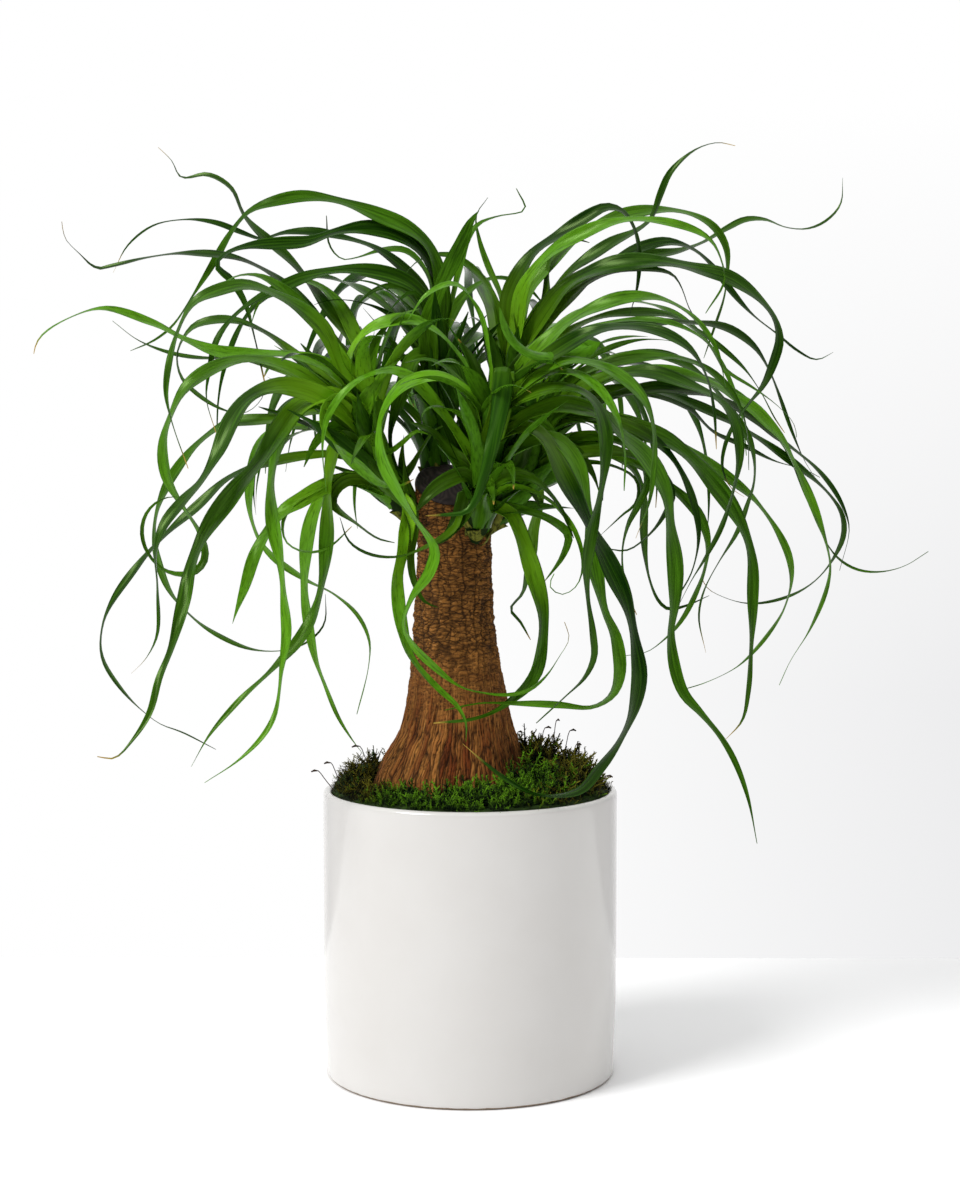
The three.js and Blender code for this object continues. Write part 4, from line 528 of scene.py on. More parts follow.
def leaf_in_view(head, row, swing):
    """A leaf along its drawn route, at its depths plus a swing."""
    wide, seen, depths, route, *end = row
    route = np.array(route, float).reshape(-1, 2)
    root = stem_point(head, route[0, 1] - 18)
    root_x, root_z = seen_at(root)
    flat = np.array([(root_x, 0, root_z), *[(x, 0, z) for x, z in route]])
    share = np.arange(len(flat) * 4 + 1) / (len(flat) * 4)
    first, middle, last = root[1], depths[1] + swing * 0.75, depths[2] + swing
    depth = first * (1 - share) * (1 - 2 * share)
    depth = depth + middle * 4 * share * (1 - share) + last * share * (2 * share - 1)
    side = np.sign(flat[len(flat) // 2, 0] - root_x) or 1

    def facing(shares, along):
        if not seen:
            return np.tile([-1.0, 0, 0], (len(shares), 1))
        shown = seen[0] + (seen[1] - seen[0]) * shares
        level = np.hypot(along[:, 0], along[:, 2])
        level = np.where(level == 0, 1, level)
        hidden = side * np.sqrt(1 - shown * shown)
        return np.stack([-along[:, 2] / level * shown, hidden, along[:, 0] / level * shown], axis=1)

    curve = Curve(at_depth(Curve(flat).point(share), depth))
    return {"head": head, "wide": wide, "blunt": "blunt" in end, "curve": curve, "facing": facing}


def leaf_by_rule(fill, turn, draw):
    """A leaf that leaves the stem steeply, arches over and hangs."""
    head, low, count, first, sweep, short, long, launch, droop = fill
    bearing = math.radians(first + sweep * ((turn + draw()) / count))
    length = short + (long - short) * draw()
    launch = math.radians(launch + FILL_LAUNCH * (draw() - 0.5))
    droop = math.radians(droop + FILL_DROOP * (draw() - 0.5))
    sway = math.radians(FILL_SWAY * (draw() - 0.5))
    roll = math.radians(FILL_ROLL * (draw() - 0.5))
    wide = FILL_WIDTHS[0] + (FILL_WIDTHS[1] - FILL_WIDTHS[0]) * draw()
    root = stem_point(head, low + FILL_ROOTS * draw())
    share = np.arange(1, FILL_STEPS + 1) / FILL_STEPS
    slope = launch - droop * share**FILL_BEND
    heading = bearing + sway * share * share
    level = np.cos(slope)
    steps = np.stack([np.cos(heading) * level, np.sin(heading) * level, np.sin(slope)], axis=1)
    points = np.vstack([root, root + np.cumsum(steps * (length / FILL_STEPS), axis=0)])

    def facing(shares, along):
        heading = bearing + sway * shares * shares
        level = np.stack([-np.sin(heading), np.cos(heading), 0 * heading], axis=1)
        angle = (roll * shares)[:, None]
        lifted = along * np.sum(along * level, axis=1, keepdims=True) * (1 - np.cos(angle))
        return level * np.cos(angle) + np.cross(along, level) * np.sin(angle) + lifted

    return {"head": head, "wide": wide, "curve": Curve(points), "facing": facing}


def reach_of(rows, place, way):
    """How far blade sections reach in a direction."""
    half = rows["half"][place]
    sideways = half * np.abs(np.sum(rows["across"][place] * way, axis=-1))
    thick = rows["thickness"][place] + half * BLADE_CHANNEL
    return sideways + thick * np.abs(np.sum(rows["up"][place] * way, axis=-1))


def room_between(rows, others):
    """Room between a leaf and the stretches of other leaves, below zero where they would touch."""
    i = np.arange(len(rows["half"]) - 1)[:, None]
    j = others["starts"][None, :]
    start, other_start = rows["middle"][i], others["middle"][j]
    u = rows["middle"][i + 1] - start
    v = others["middle"][j + 1] - other_start
    w = start - other_start
    uu, uv, vv = (np.sum(a * b, axis=-1) for a, b in ((u, u), (u, v), (v, v)))
    uw, vw = np.sum(u * w, axis=-1), np.sum(v * w, axis=-1)
    uu, vv = np.broadcast_to(uu, uv.shape), np.broadcast_to(vv, uv.shape)
    span = uu * vv - uv * uv
    apart = span > 1e-9
    s = np.where(apart, np.clip((uv * vw - vv * uw) / np.where(apart, span, 1), 0, 1), 0)
    t = np.clip((uv * s + vw) / vv, 0, 1)
    s = np.clip((uv * t - uw) / uu, 0, 1)
    between = w + u * s[..., None] - v * t[..., None]
    distance = np.linalg.norm(between, axis=-1)
    way = between / np.where(distance == 0, 1, distance)[..., None]
    needed = np.maximum(reach_of(rows, i, way), reach_of(rows, i + 1, way))
    needed = needed + np.maximum(reach_of(others, j, way), reach_of(others, j + 1, way))
    near = np.linalg.norm(w, axis=-1) <= rows["half"][i] + others["half"][j] + NEAR_LEAVES
    return np.min(np.where(near, distance - needed, np.inf))


def room_to_body(rows):
    """Room to the trunk, its cut, the moss and the pot, from each section past the root."""
    x, y, z = rows["middle"][2:].T
    half = rows["half"][2:]
    middle, radius = trunk_at(z)
    trunk_room = np.hypot(x - middle, y) - radius * 1.05 - half - BODY_ROOM
    from_axis = np.hypot(x, y)
    ground = np.maximum(POT_HEIGHT, np.where(from_axis < POT_RADIUS - 4, moss_height(x, y) + 2, 0))
    above = z - ground - half * 0.6 - BODY_ROOM
    pot_room = np.maximum(above, from_axis - POT_RADIUS - half - BODY_ROOM)
    trunk_room = np.where(z < 420, trunk_room, np.inf)
    pot_room = np.where(from_axis < POT_RADIUS + half, pot_room, np.inf)
    return min(np.min(trunk_room), np.min(pot_room))


def join_rows(placed):
    """The sections of several leaves in one table, with the places where a stretch starts."""
    keys = ("middle", "across", "up", "half", "thickness")
    table = {key: np.concatenate([rows[key] for rows in placed]) for key in keys}
    ends = np.cumsum([len(rows["half"]) for rows in placed]) - 1
    table["starts"] = np.setdiff1d(np.arange(len(table["half"])), ends)
    return table


def place_leaves():
    """Places every leaf in turn, each clear of the trunk, the pot and the other heads' leaves."""
    placed = []

    def room_for(head, rows):
        others = [other["rows"] for other in placed if other["head"] != head]
        room = room_to_body(rows)
        return min(room, room_between(rows, join_rows(others))) if others else room

    for head, table in ROUTES.items():
        for row in table:
            best = None
            for swing in SWINGS:
                leaf = leaf_in_view(head, row, swing)
                leaf["rows"] = sections(leaf, solid_shares(leaf["curve"]))
                leaf["room"] = room_for(head, leaf["rows"])
                if best is None or leaf["room"] > best["room"]:
                    best = leaf
                if leaf["room"] > LEAF_GAP:
                    break
            placed.append(best)
    draw = random_from(FILL_SEED)
    for fill in FILLS:
        for turn in range(fill[2]):
            for _ in range(FILL_TRIES):
                leaf = leaf_by_rule(fill, turn, draw)
                leaf["rows"] = sections(leaf, solid_shares(leaf["curve"]))
                if room_for(fill[0], leaf["rows"]) > LEAF_GAP:
                    placed.append(leaf)
                    break
    return placed


# Node trees and meshes.
def add_node(tree, kind, inputs=None, **settings):
    """Adds a node, sets its settings, and sets or links its inputs by name or place."""
    node = tree.nodes.new(kind)
    for name, value in settings.items():
        setattr(node, name, value)
    for key, value in (inputs or {}).items():
        if isinstance(value, bpy.types.NodeSocket):
            tree.links.new(value, node.inputs[key])
        else:
            node.inputs[key].default_value = value
    return node


def start_tree(name, sizes):
    """A Geometry Nodes tree with a geometry input and named sizes, and its input sockets by name."""
    tree = bpy.data.node_groups.new(name, "GeometryNodeTree")
    tree.interface.new_socket("Geometry", in_out="INPUT", socket_type="NodeSocketGeometry")
    for label, kind in sizes.items():
        tree.interface.new_socket(label, in_out="INPUT", socket_type=kind)
    tree.interface.new_socket("Geometry", in_out="OUTPUT", socket_type="NodeSocketGeometry")
    return tree, add_node(tree, "NodeGroupInput").outputs


def end_tree(tree, geometry, material):
    """Makes copies real, gives the result its material and ends the tree."""
    shaded = add_node(tree, "GeometryNodeSetShadeSmooth", {"Geometry": geometry})
    real = add_node(tree, "GeometryNodeRealizeInstances", {"Geometry": shaded.outputs[0]})
    coated = add_node(tree, "GeometryNodeSetMaterial", {"Geometry": real.outputs[0], "Material": material})
    add_node(tree, "NodeGroupOutput", {0: coated.outputs[0]})
    return tree


def grow(name, seed_mesh, tree, values):
    """Runs a tree on a mesh and leaves the result as a plain piece."""
    piece = bpy.data.objects.new(name, seed_mesh)
    bpy.context.scene.collection.objects.link(piece)
    modifier = piece.modifiers.new(name, "NODES")
    modifier.node_group = tree
    for item in tree.interface.items_tree:
        if item.in_out == "INPUT" and item.name in values:
            modifier[item.identifier] = values[item.name]
    depsgraph = bpy.context.evaluated_depsgraph_get()
    made = bpy.data.meshes.new_from_object(
        piece.evaluated_get(depsgraph), preserve_all_data_layers=True, depsgraph=depsgraph
    )
    piece.modifiers.remove(modifier)
    piece.data = made
    bpy.data.meshes.remove(seed_mesh)
    made.name = name
    if not made.polygons:
        raise RuntimeError(f"{name} came out empty")
    return piece


def finish_piece(piece, slot, *nodes):
    """The piece rides on the one body and stands for its solids."""
    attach(piece, "root")
    if nodes:
        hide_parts(*nodes)


def spread(mesh, name, values):
    """Writes one attribute for every point of a mesh."""
    values = np.asarray(values, np.float32)
    vector = values.ndim == 2
    layer = mesh.attributes.new(name, "FLOAT_VECTOR" if vector else "FLOAT", "POINT")
    layer.data.foreach_set("vector" if vector else "value", values.ravel())


def spine_mesh(name, strands):
    """Lines of points as one mesh of edges, with each strand's values as point attributes."""
    points = np.concatenate([strand["middle"] for strand in strands]) * MM
    ends = np.cumsum([len(strand["middle"]) for strand in strands]) - 1
    starts = np.setdiff1d(np.arange(len(points)), ends)
    mesh = bpy.data.meshes.new(name)
    mesh.from_pydata(points.tolist(), [(int(start), int(start) + 1) for start in starts], [])
    for key in strands[0]:
        if key != "middle":
            spread(mesh, key, np.concatenate([strand[key] for strand in strands]))
    return mesh


def loft(name, rings, material):
    """Joins rings of points, bottom up and anticlockwise from above, and closes both ends."""
    rings = np.asarray(rings, float)
    count, sides = rings.shape[:2]
    points = np.vstack([rings.reshape(-1, 3), rings[0].mean(axis=0), rings[-1].mean(axis=0)]) * MM
    side = np.arange(sides)
    after = (side + 1) % sides
    row = np.arange(count - 1)[:, None] * sides
    quads = np.stack([row + side, row + after, row + after + sides, row + side + sides], axis=-1)
    low, high, top = count * sides, count * sides + 1, (count - 1) * sides
    faces = quads.reshape(-1, 4).tolist()
    faces += [[low, int(b), int(a)] for a, b in zip(side, after)]
    faces += [[high, int(top + a), int(top + b)] for a, b in zip(side, after)]
    mesh = bpy.data.meshes.new(name)
    mesh.from_pydata(points.tolist(), [], faces)
    mesh.shade_smooth()
    mesh.materials.append(material)
    piece = bpy.data.objects.new(name, mesh)
    bpy.context.scene.collection.objects.link(piece)
    return piece


def lumps(points, size, seed=0):
    """Smooth noise from -1 to 1 at points, with lumps of about a size in mm on each axis."""
    rows = points.reshape(-1, 3) / size + seed * SEED_STEP
    return np.array([noise.noise(Vector(row)) for row in rows]).reshape(points.shape[:-1])


def grooves(points, size, seed=0):
    """Nought along thin wavy grooves with lumps of about a size in mm between them, and one elsewhere."""
    return smooth(np.abs(lumps(points, size, seed)), 0, GROOVE_REACH)


# How far apart the noise of two seeds lies, and how far noise rises from nought within a groove.
SEED_STEP = 17.3
GROOVE_REACH = 0.16

# A leaf's tint goes from 0, dark, to 1, light: its head's value times the reach, times a random number
# raised to the skew, which leaves most of them dark. The heads' values are partly painted light and
# shade: heads towards the lamp at the front left are lighter, and those away from it, inside and
# behind the crown, darker.
HEAD_TINT_AND_SHADE = {"front": 0.42, "left": 0.66, "right": 0.34, "centre": 0.2, "back": 0.3}
TINT_REACH = 3.1
TINT_SKEW = 2.1
# How young and yellow-green each head's core is.
HEAD_YOUTH = {"front": 0.4, "left": 0.8, "right": 0.35, "centre": 0.15, "back": 0.55}
# Leaves under this length in mm are darker and less yellow, by these factors: painted shade, as the short
# leaves stand deep among the others.
SHORT_LEAF = 125
SHORT_LEAF_SHADE = 0.6
SHORT_YOUTH = 0.25
# The head whose leaves have lost their wax, and the gloss of waxy leaves, worn ones and leaves' feet.
WORN_HEADS = ("centre",)
WAXY_GLOSS = 0.28
WORN_GLOSS = 0.08
FOOT_GLOSS = 0.1
# The share of leaves with dry tips, and the leaves of a head that have them in any case.
DRY_TIPS = 0.3
DRY_LEAVES = {"front": (0, 4)}
# A leaf's breadth against the solids' leaf, and how far its tip is darker and narrower; the darker tip is
# painted shade, where the leaf hangs away from the light.
BROAD = 1.1
TIP_SHADE = 0.45
NARROW_TIPS = 0.25
# The length in mm in which a blade rocks once about its line.
WAVE_LENGTH = 70
# A leaf's foot curls round its stem up to the first of these lengths in mm, and is flat at the second.
CLASP = (10, 60)
# The power at which a blade's edges rise from its middle line.
CHANNEL_POWER = 1.4

# The turn from one leaf to the next round a stem, and the lean of a moss leaflet.
GOLDEN_TURN = math.radians(137.5)
LEAFLET_LEAN = math.radians(56)

# A moss sprig: points along it and along its bare stalk, the stalk's width, its leaflets' sizes from foot
# to tip, how far it tilts in radians, and its least and greatest size.
SPRIG_POINTS = 11
STALK_POINTS = 4
STALK_WIDTH = 0.6
LEAFLET_SIZES = (1.2, 0.4)
SPRIG_TILT = 0.6
SPRIG_SIZES = (0.6, 1.5)

# A knot under the cut at the front of the trunk: x, z and radius, and how deep it lies.
KNOT = (-9, 383, 5)
KNOT_DEPTH = 2.2

# The heights between which the bark's upright flakes give way to level ones.
BARK_CHANGE = (235, 300)

# The cylinder round which the foot's upright grooves run.
FOOT_WRAP = 60

# The floor's reach and the key lamp's place, in metres.
FLOOR_REACH = 6
KEY_FROM = (-2.4, -1.8, 2.8)

# Parts of the sky: each fades in along an axis of the direction, from and to.
SKY_EDGES = {
    "far": (1, -0.65, 0.5),
    "ceiling": (2, 0.45, 0.85),
    "right": (0, -0.02, 0.2),
    "low": (2, 0.12, -0.12),
    "screen": (1, 0.8, 0.93),
}
CEILING_LIGHT = 1.2

# Finishes. A mix of colours has its ends on inputs 6 and 7 and its result on output 2, and a mix of
# numbers has them on 2 and 3 and on 0.
MIX = "ShaderNodeMix"
MAP = "ShaderNodeMapRange"
NOISE = "ShaderNodeTexNoise"
MATH = "ShaderNodeMath"
VECTOR_MATH = "ShaderNodeVectorMath"
VORONOI = "ShaderNodeTexVoronoi"
ATTRIBUTE = "ShaderNodeAttribute"
TO_PARTS = "ShaderNodeSeparateXYZ"
FROM_PARTS = "ShaderNodeCombineXYZ"

# Flakes of bark at the foot, wrapped round a cylinder, and above: the cylinder's radius, how the pattern
# is squeezed on each axis, and its size in mm.
BARK_FLAKES = [(0.06, (0, 0, 0.11), 3.0), (0, (0.28, 0.28, 1), 2.4)]
BARK_WARP = 3.5 * MM


def per(size):
    """The scale that gives a pattern a size in mm on coordinates in metres."""
    return 1 / (size * MM)


def new_finish(name, **values):
    """A material with one surface shader, whose constant values are set on its own sockets."""
    material = bpy.data.materials.new(name)
    material.use_nodes = True
    tree = material.node_tree
    surface = tree.nodes["Principled BSDF"]
    for key, value in values.items():
        surface.inputs[key.replace("_", " ")].default_value = value
    place = add_node(tree, "ShaderNodeTexCoord").outputs["Object"]
    return material, tree, surface, place


def end_finish(tree, surface, base, height, strength, depth):
    """Gives a finish its colour, and its relief from heights, with a depth in mm."""
    relief = {"Strength": strength, "Distance": depth * MM, "Height": height}
    bump = add_node(tree, "ShaderNodeBump", relief).outputs[0]
    tree.links.new(base, surface.inputs["Base Color"])
    tree.links.new(bump, surface.inputs["Normal"])


def glazed_stoneware(look):
    """White gloss glaze over stoneware: a smooth skin with a faint ripple, iron specks and a bare foot."""
    material, tree, surface, place = new_finish(
        "white glazed stoneware", IOR=1.52, Coat_Weight=0.3, Coat_Roughness=0.08
    )
    height = add_node(tree, TO_PARTS, {0: place}).outputs[2]
    cloud = add_node(tree, NOISE, {"Vector": place, "Scale": per(45), "Detail": 3}).outputs[0]
    whites = {6: (*look.glaze, 1), 7: colour("#cfccc8")}
    base = add_node(tree, MIX, {0: cloud, **whites}, data_type="RGBA").outputs[2]
    # A few of the 15 mm cells hold a speck of iron.
    cells = add_node(tree, VORONOI, {"Vector": place, "Scale": per(15)}).outputs
    pick = add_node(tree, TO_PARTS, {0: cells["Color"]}).outputs[0]
    few = add_node(tree, MATH, {0: pick, 1: 0.93}, operation="GREATER_THAN").outputs[0]
    dot = add_node(tree, MATH, {0: cells["Distance"], 1: 0.028}, operation="LESS_THAN").outputs[0]
    speck = add_node(tree, MATH, {0: few, 1: dot}, operation="MULTIPLY").outputs[0]
    # Below a wavy line the clay is bare and gritty.
    grit = add_node(tree, NOISE, {"Vector": place, "Scale": per(1.5), "Detail": 4}).outputs[0]
    clays = {6: colour("#6b5a4a"), 7: colour("#9a8975")}
    clay = add_node(tree, MIX, {0: grit, **clays}, data_type="RGBA").outputs[2]
    edge = add_node(tree, NOISE, {"Vector": place, "Scale": per(8)}).outputs[0]
    line = add_node(tree, MATH, {0: edge, 1: 1.2 * MM, 2: look.foot}, operation="MULTIPLY_ADD").outputs[0]
    bare = add_node(tree, MATH, {0: height, 1: line}, operation="LESS_THAN").outputs[0]
    for share, tone in ((speck, colour("#a9a298")), (bare, clay)):
        base = add_node(tree, MIX, {0: share, 6: base, 7: tone}, data_type="RGBA").outputs[2]
    dull = add_node(tree, MAP, {"Value": bare, "To Min": 0.16, "To Max": 0.85}).outputs[0]
    tree.links.new(dull, surface.inputs["Roughness"])
    ripple = add_node(tree, NOISE, {"Vector": place, "Scale": per(22), "Detail": 2}).outputs[0]
    end_finish(tree, surface, base, ripple, 0.25, 0.4)
    return material


def potting_soil():
    """Damp peat and bark compost: dark, crumbly and dull."""
    material, tree, surface, place = new_finish("damp peat compost", Roughness=0.95)
    crumb = add_node(tree, NOISE, {"Vector": place, "Scale": per(3), "Detail": 6}).outputs[0]
    browns = {6: colour("#1c120b"), 7: colour("#4a3524")}
    base = add_node(tree, MIX, {0: crumb, **browns}, data_type="RGBA").outputs[2]
    end_finish(tree, surface, base, crumb, 1, 1.5)
    return material


def cork_bark(look):
    """Dry corky bark, dull brown: split in upright flakes at the foot and level ones above, dark between."""
    material, tree, surface, place = new_finish("dry cork bark", Roughness=0.9, Specular_IOR_Level=0.15)
    height = add_node(tree, TO_PARTS, {0: place}).outputs[2]
    low, high = (level * MM for level in BARK_CHANGE)
    upper = add_node(tree, MAP, {"Value": height, "From Min": low, "From Max": high}).outputs[0]
    # Noise bends every line of the pattern.
    tall = add_node(tree, VECTOR_MATH, {0: place, 1: (1, 1, 0.35)}, operation="MULTIPLY").outputs[0]
    bend = add_node(tree, NOISE, {"Vector": tall, "Scale": per(6), "Detail": 3}).outputs["Color"]
    bends = {0: bend, 1: (BARK_WARP,) * 3, 2: place}
    bent = add_node(tree, VECTOR_MATH, bends, operation="MULTIPLY_ADD").outputs[0]
    level = add_node(tree, VECTOR_MATH, {0: bent, 1: (1, 1, 0)}, operation="MULTIPLY").outputs[0]
    outward = add_node(tree, VECTOR_MATH, {0: level}, operation="NORMALIZE").outputs[0]
    edges, tones, fibres, bands = [], [], [], []
    for radius, way, size in BARK_FLAKES:
        squeezed = add_node(tree, VECTOR_MATH, {0: bent, 1: way}, operation="MULTIPLY").outputs[0]
        wrapped = {0: outward, 1: (radius,) * 3, 2: squeezed}
        where = add_node(tree, VECTOR_MATH, wrapped, operation="MULTIPLY_ADD").outputs[0]
        cells = {"Vector": where, "Scale": per(size)}
        edges.append(add_node(tree, VORONOI, cells, feature="DISTANCE_TO_EDGE").outputs["Distance"])
        tones.append(add_node(tree, VORONOI, cells).outputs["Color"])
        fine = {"Vector": where, "Scale": per(size / 3), "Detail": 5, "Roughness": 0.7}
        fibres.append(add_node(tree, NOISE, fine).outputs[0])
        bands.append(add_node(tree, NOISE, {**fine, "Scale": per(size * 3), "Detail": 3}).outputs[0])
    edge, fibre, band = (
        add_node(tree, MIX, {0: upper, 2: foot, 3: above}).outputs[0]
        for foot, above in (edges, fibres, bands)
    )
    both = add_node(tree, MIX, {0: upper, 6: tones[0], 7: tones[1]}, data_type="RGBA").outputs[2]
    flake = add_node(tree, TO_PARTS, {0: both}).outputs[0]
    light = add_node(tree, MATH, {0: flake, 1: 0.3, 2: band}, operation="MULTIPLY_ADD").outputs[0]
    # Each coat covers the last where its value lies between two ends, up to its share.
    browns = {6: colour("#7a3c18"), 7: colour("#8e5e2b")}
    base = add_node(tree, MIX, {0: upper, **browns}, data_type="RGBA").outputs[2]
    coats = [
        (light, 0.45, 0.85, 1, (*look.bark, 1)),
        (fibre, 0.48, 0.28, 0.7, colour("#47290d")),
        (fibre, 0.58, 0.72, 0.6, colour("#bf9862")),
        (edge, 0.1, 0, 0.9, colour("#241407")),
    ]
    for value, start, end, most, tone in coats:
        ends = {"Value": value, "From Min": start, "From Max": end, "To Max": most}
        share = add_node(tree, MAP, ends).outputs[0]
        base = add_node(tree, MIX, {0: share, 6: base, 7: tone}, data_type="RGBA").outputs[2]
    # Painted shade: the trunk's grooves, the low spots of its relief and the knot's hollow are darkened, the
    # grooves partly as the bark's own dark fissures.
    shaded_cracks = add_node(tree, ATTRIBUTE, attribute_name="cracks_and_shade").outputs["Fac"]
    groove = add_node(tree, MAP, {"Value": shaded_cracks, "To Min": 0.05}).outputs[0]
    dark = add_node(tree, MIX, {0: groove, 6: colour("#1c0f05"), 7: base}, data_type="RGBA").outputs[2]
    relief = add_node(tree, MAP, {"Value": edge, "From Max": 0.25}).outputs[0]
    rough = add_node(tree, MATH, {0: fibre, 1: 0.7, 2: relief}, operation="MULTIPLY_ADD").outputs[0]
    end_finish(tree, surface, dark, rough, 0.9, 0.9)
    return material


def sealed_cut():
    """An old pruning cut, weathered grey-black and sealed with tar: a low sheen and fine curved lines."""
    material, tree, surface, place = new_finish("tarred cut wood", Roughness=0.6, Specular_IOR_Level=0.25)
    grain = add_node(tree, ATTRIBUTE, attribute_name="grain").outputs["Fac"]
    cloud = add_node(tree, NOISE, {"Vector": place, "Scale": per(7), "Detail": 5}).outputs[0]
    shade = add_node(tree, MATH, {0: grain, 1: cloud}, operation="MULTIPLY").outputs[0]
    greys = {6: colour("#1f1817"), 7: colour("#4e403c")}
    base = add_node(tree, MIX, {0: shade, **greys}, data_type="RGBA").outputs[2]
    end_finish(tree, surface, base, cloud, 0.5, 0.5)
    return material


def waxy_leaf(look, name, gloss):
    """A living strap leaf with a thin waxy skin: deep green, yellow-green where young, veined lengthwise.

    Its veins are drawn wider than real ones, so that they show.
    """
    wax = {"IOR": 1.45, "Specular_IOR_Level": gloss, "Specular_Tint": colour("#c8f58c")}
    material, tree, surface, _ = new_finish(name, Roughness=look.roughness, **wax)
    keys = ("share", "side", "tint", "fresh", "half", "run", "under", "dry")
    share, side, tint, fresh, half, run, under, dry = (
        add_node(tree, ATTRIBUTE, attribute_name=key).outputs["Fac"] for key in keys
    )
    # Veins are noise stretched along the leaf, and apart from leaf to leaf.
    across = add_node(tree, MATH, {0: side, 1: half}, operation="MULTIPLY").outputs[0]
    slow = add_node(tree, MATH, {0: run, 1: 0.02}, operation="MULTIPLY").outputs[0]
    apart = add_node(tree, MATH, {0: tint, 1: 90}, operation="MULTIPLY").outputs[0]
    lane = add_node(tree, FROM_PARTS, {0: across, 1: slow, 2: apart}).outputs[0]
    fine = {"Vector": lane, "Scale": MM / look.vein, "Detail": 3, "Roughness": 0.6}
    veins = add_node(tree, NOISE, fine).outputs[0]
    edge = add_node(tree, MATH, {0: side}, operation="ABSOLUTE").outputs[0]
    bold = add_node(tree, MATH, {0: tint, 1: 0.7, 2: 0.3}, operation="MULTIPLY_ADD").outputs[0]
    # Each coat covers the last where its value lies between two ends, up to its share, times a factor.
    greens = {6: (*look.deep, 1), 7: (*look.green, 1)}
    base = add_node(tree, MIX, {0: tint, **greens}, data_type="RGBA").outputs[2]
    coats = [
        (run, 100, 10, 1, fresh, (*look.young, 1)),
        (veins, 0.45, 0.7, 0.45, bold, colour("#6cae28")),
        (veins, 0.46, 0.3, 0.55, 1, colour("#092404")),
        (edge, 0.9, 1, 0.3, 1, colour("#4f8420")),
        (under, 0, 1, 0.22, 1, colour("#2e6016")),
        (share, 0.95, 0.985, 1, dry, colour("#a8893c")),
    ]
    for value, start, end, most, factor, tone in coats:
        ends = {"Value": value, "From Min": start, "From Max": end, "To Max": most}
        covered = add_node(tree, MAP, ends).outputs[0]
        covered = add_node(tree, MATH, {0: covered, 1: factor}, operation="MULTIPLY").outputs[0]
        base = add_node(tree, MIX, {0: covered, 6: base, 7: tone}, data_type="RGBA").outputs[2]
    end_finish(tree, surface, base, veins, 0.5, 0.3)
    return material


def papery_sheath():
    """The dried foot of an old leaf: thin, dull, straw and olive, with coarse parallel fibres."""
    material, tree, surface, place = new_finish("papery leaf sheath", Roughness=0.9, Specular_IOR_Level=0.1)
    flat = add_node(tree, VECTOR_MATH, {0: place, 1: (1, 1, 0.15)}, operation="MULTIPLY").outputs[0]
    fibre = add_node(tree, NOISE, {"Vector": flat, "Scale": per(2), "Detail": 4}).outputs[0]
    strand = add_node(tree, MAP, {"Value": fibre, "From Min": 0.35, "From Max": 0.65}).outputs[0]
    straws = {6: colour("#2c300c"), 7: colour("#76782e")}
    base = add_node(tree, MIX, {0: strand, **straws}, data_type="RGBA").outputs[2]
    end_finish(tree, surface, base, fibre, 0.6, 0.4)
    return material


def feather_moss(name, dark, light):
    """Living feather moss: tiny dull leaflets whose colour changes from sprig to sprig."""
    material, tree, surface, place = new_finish(name, Roughness=0.85, Specular_IOR_Level=0.15)
    patch = add_node(tree, NOISE, {"Vector": place, "Scale": per(9), "Detail": 3}).outputs[0]
    shade, tip = (
        add_node(tree, ATTRIBUTE, attribute_name=key).outputs["Fac"] for key in ("shade", "tip")
    )
    # Painted shade and highlight: a sprig is darker at its foot and lighter at its tip; on the mat the tip
    # value is a random lump.
    sprig = add_node(tree, MATH, {0: shade, 1: tip}, operation="ADD").outputs[0]
    tuft = add_node(tree, MATH, {0: sprig, 1: patch}, operation="MULTIPLY").outputs[0]
    bright = add_node(tree, MAP, {"Value": tuft, "From Min": 0.36, "From Max": 0.86}).outputs[0]
    base = add_node(tree, MIX, {0: bright, 6: dark, 7: light}, data_type="RGBA").outputs[2]
    tree.links.new(base, surface.inputs["Base Color"])
    return material


def plain_finish(name, text, roughness, gloss):
    """One dull or silky colour with a fine cloud of a darker shade, for threads too thin for more."""
    material, tree, surface, place = new_finish(name, Roughness=roughness, Specular_IOR_Level=gloss)
    cloud = add_node(tree, NOISE, {"Vector": place, "Scale": per(2)}).outputs[0]
    value = colour(text)
    darker = (*[part * 0.55 for part in value[:3]], 1)
    base = add_node(tree, MIX, {0: cloud, 6: darker, 7: value}, data_type="RGBA").outputs[2]
    tree.links.new(base, surface.inputs["Base Color"])
    return material


# Trees that follow a line or cover a surface.
NAMED = "GeometryNodeInputNamedAttribute"
STORE = "GeometryNodeStoreNamedAttribute"
CIRCLE = "GeometryNodeCurvePrimitiveCircle"
SWEEP = "GeometryNodeCurveToMesh"
PLACE = "GeometryNodeSetPosition"
COPIES = "GeometryNodeInstanceOnPoints"
RANDOM = "FunctionNodeRandomValue"


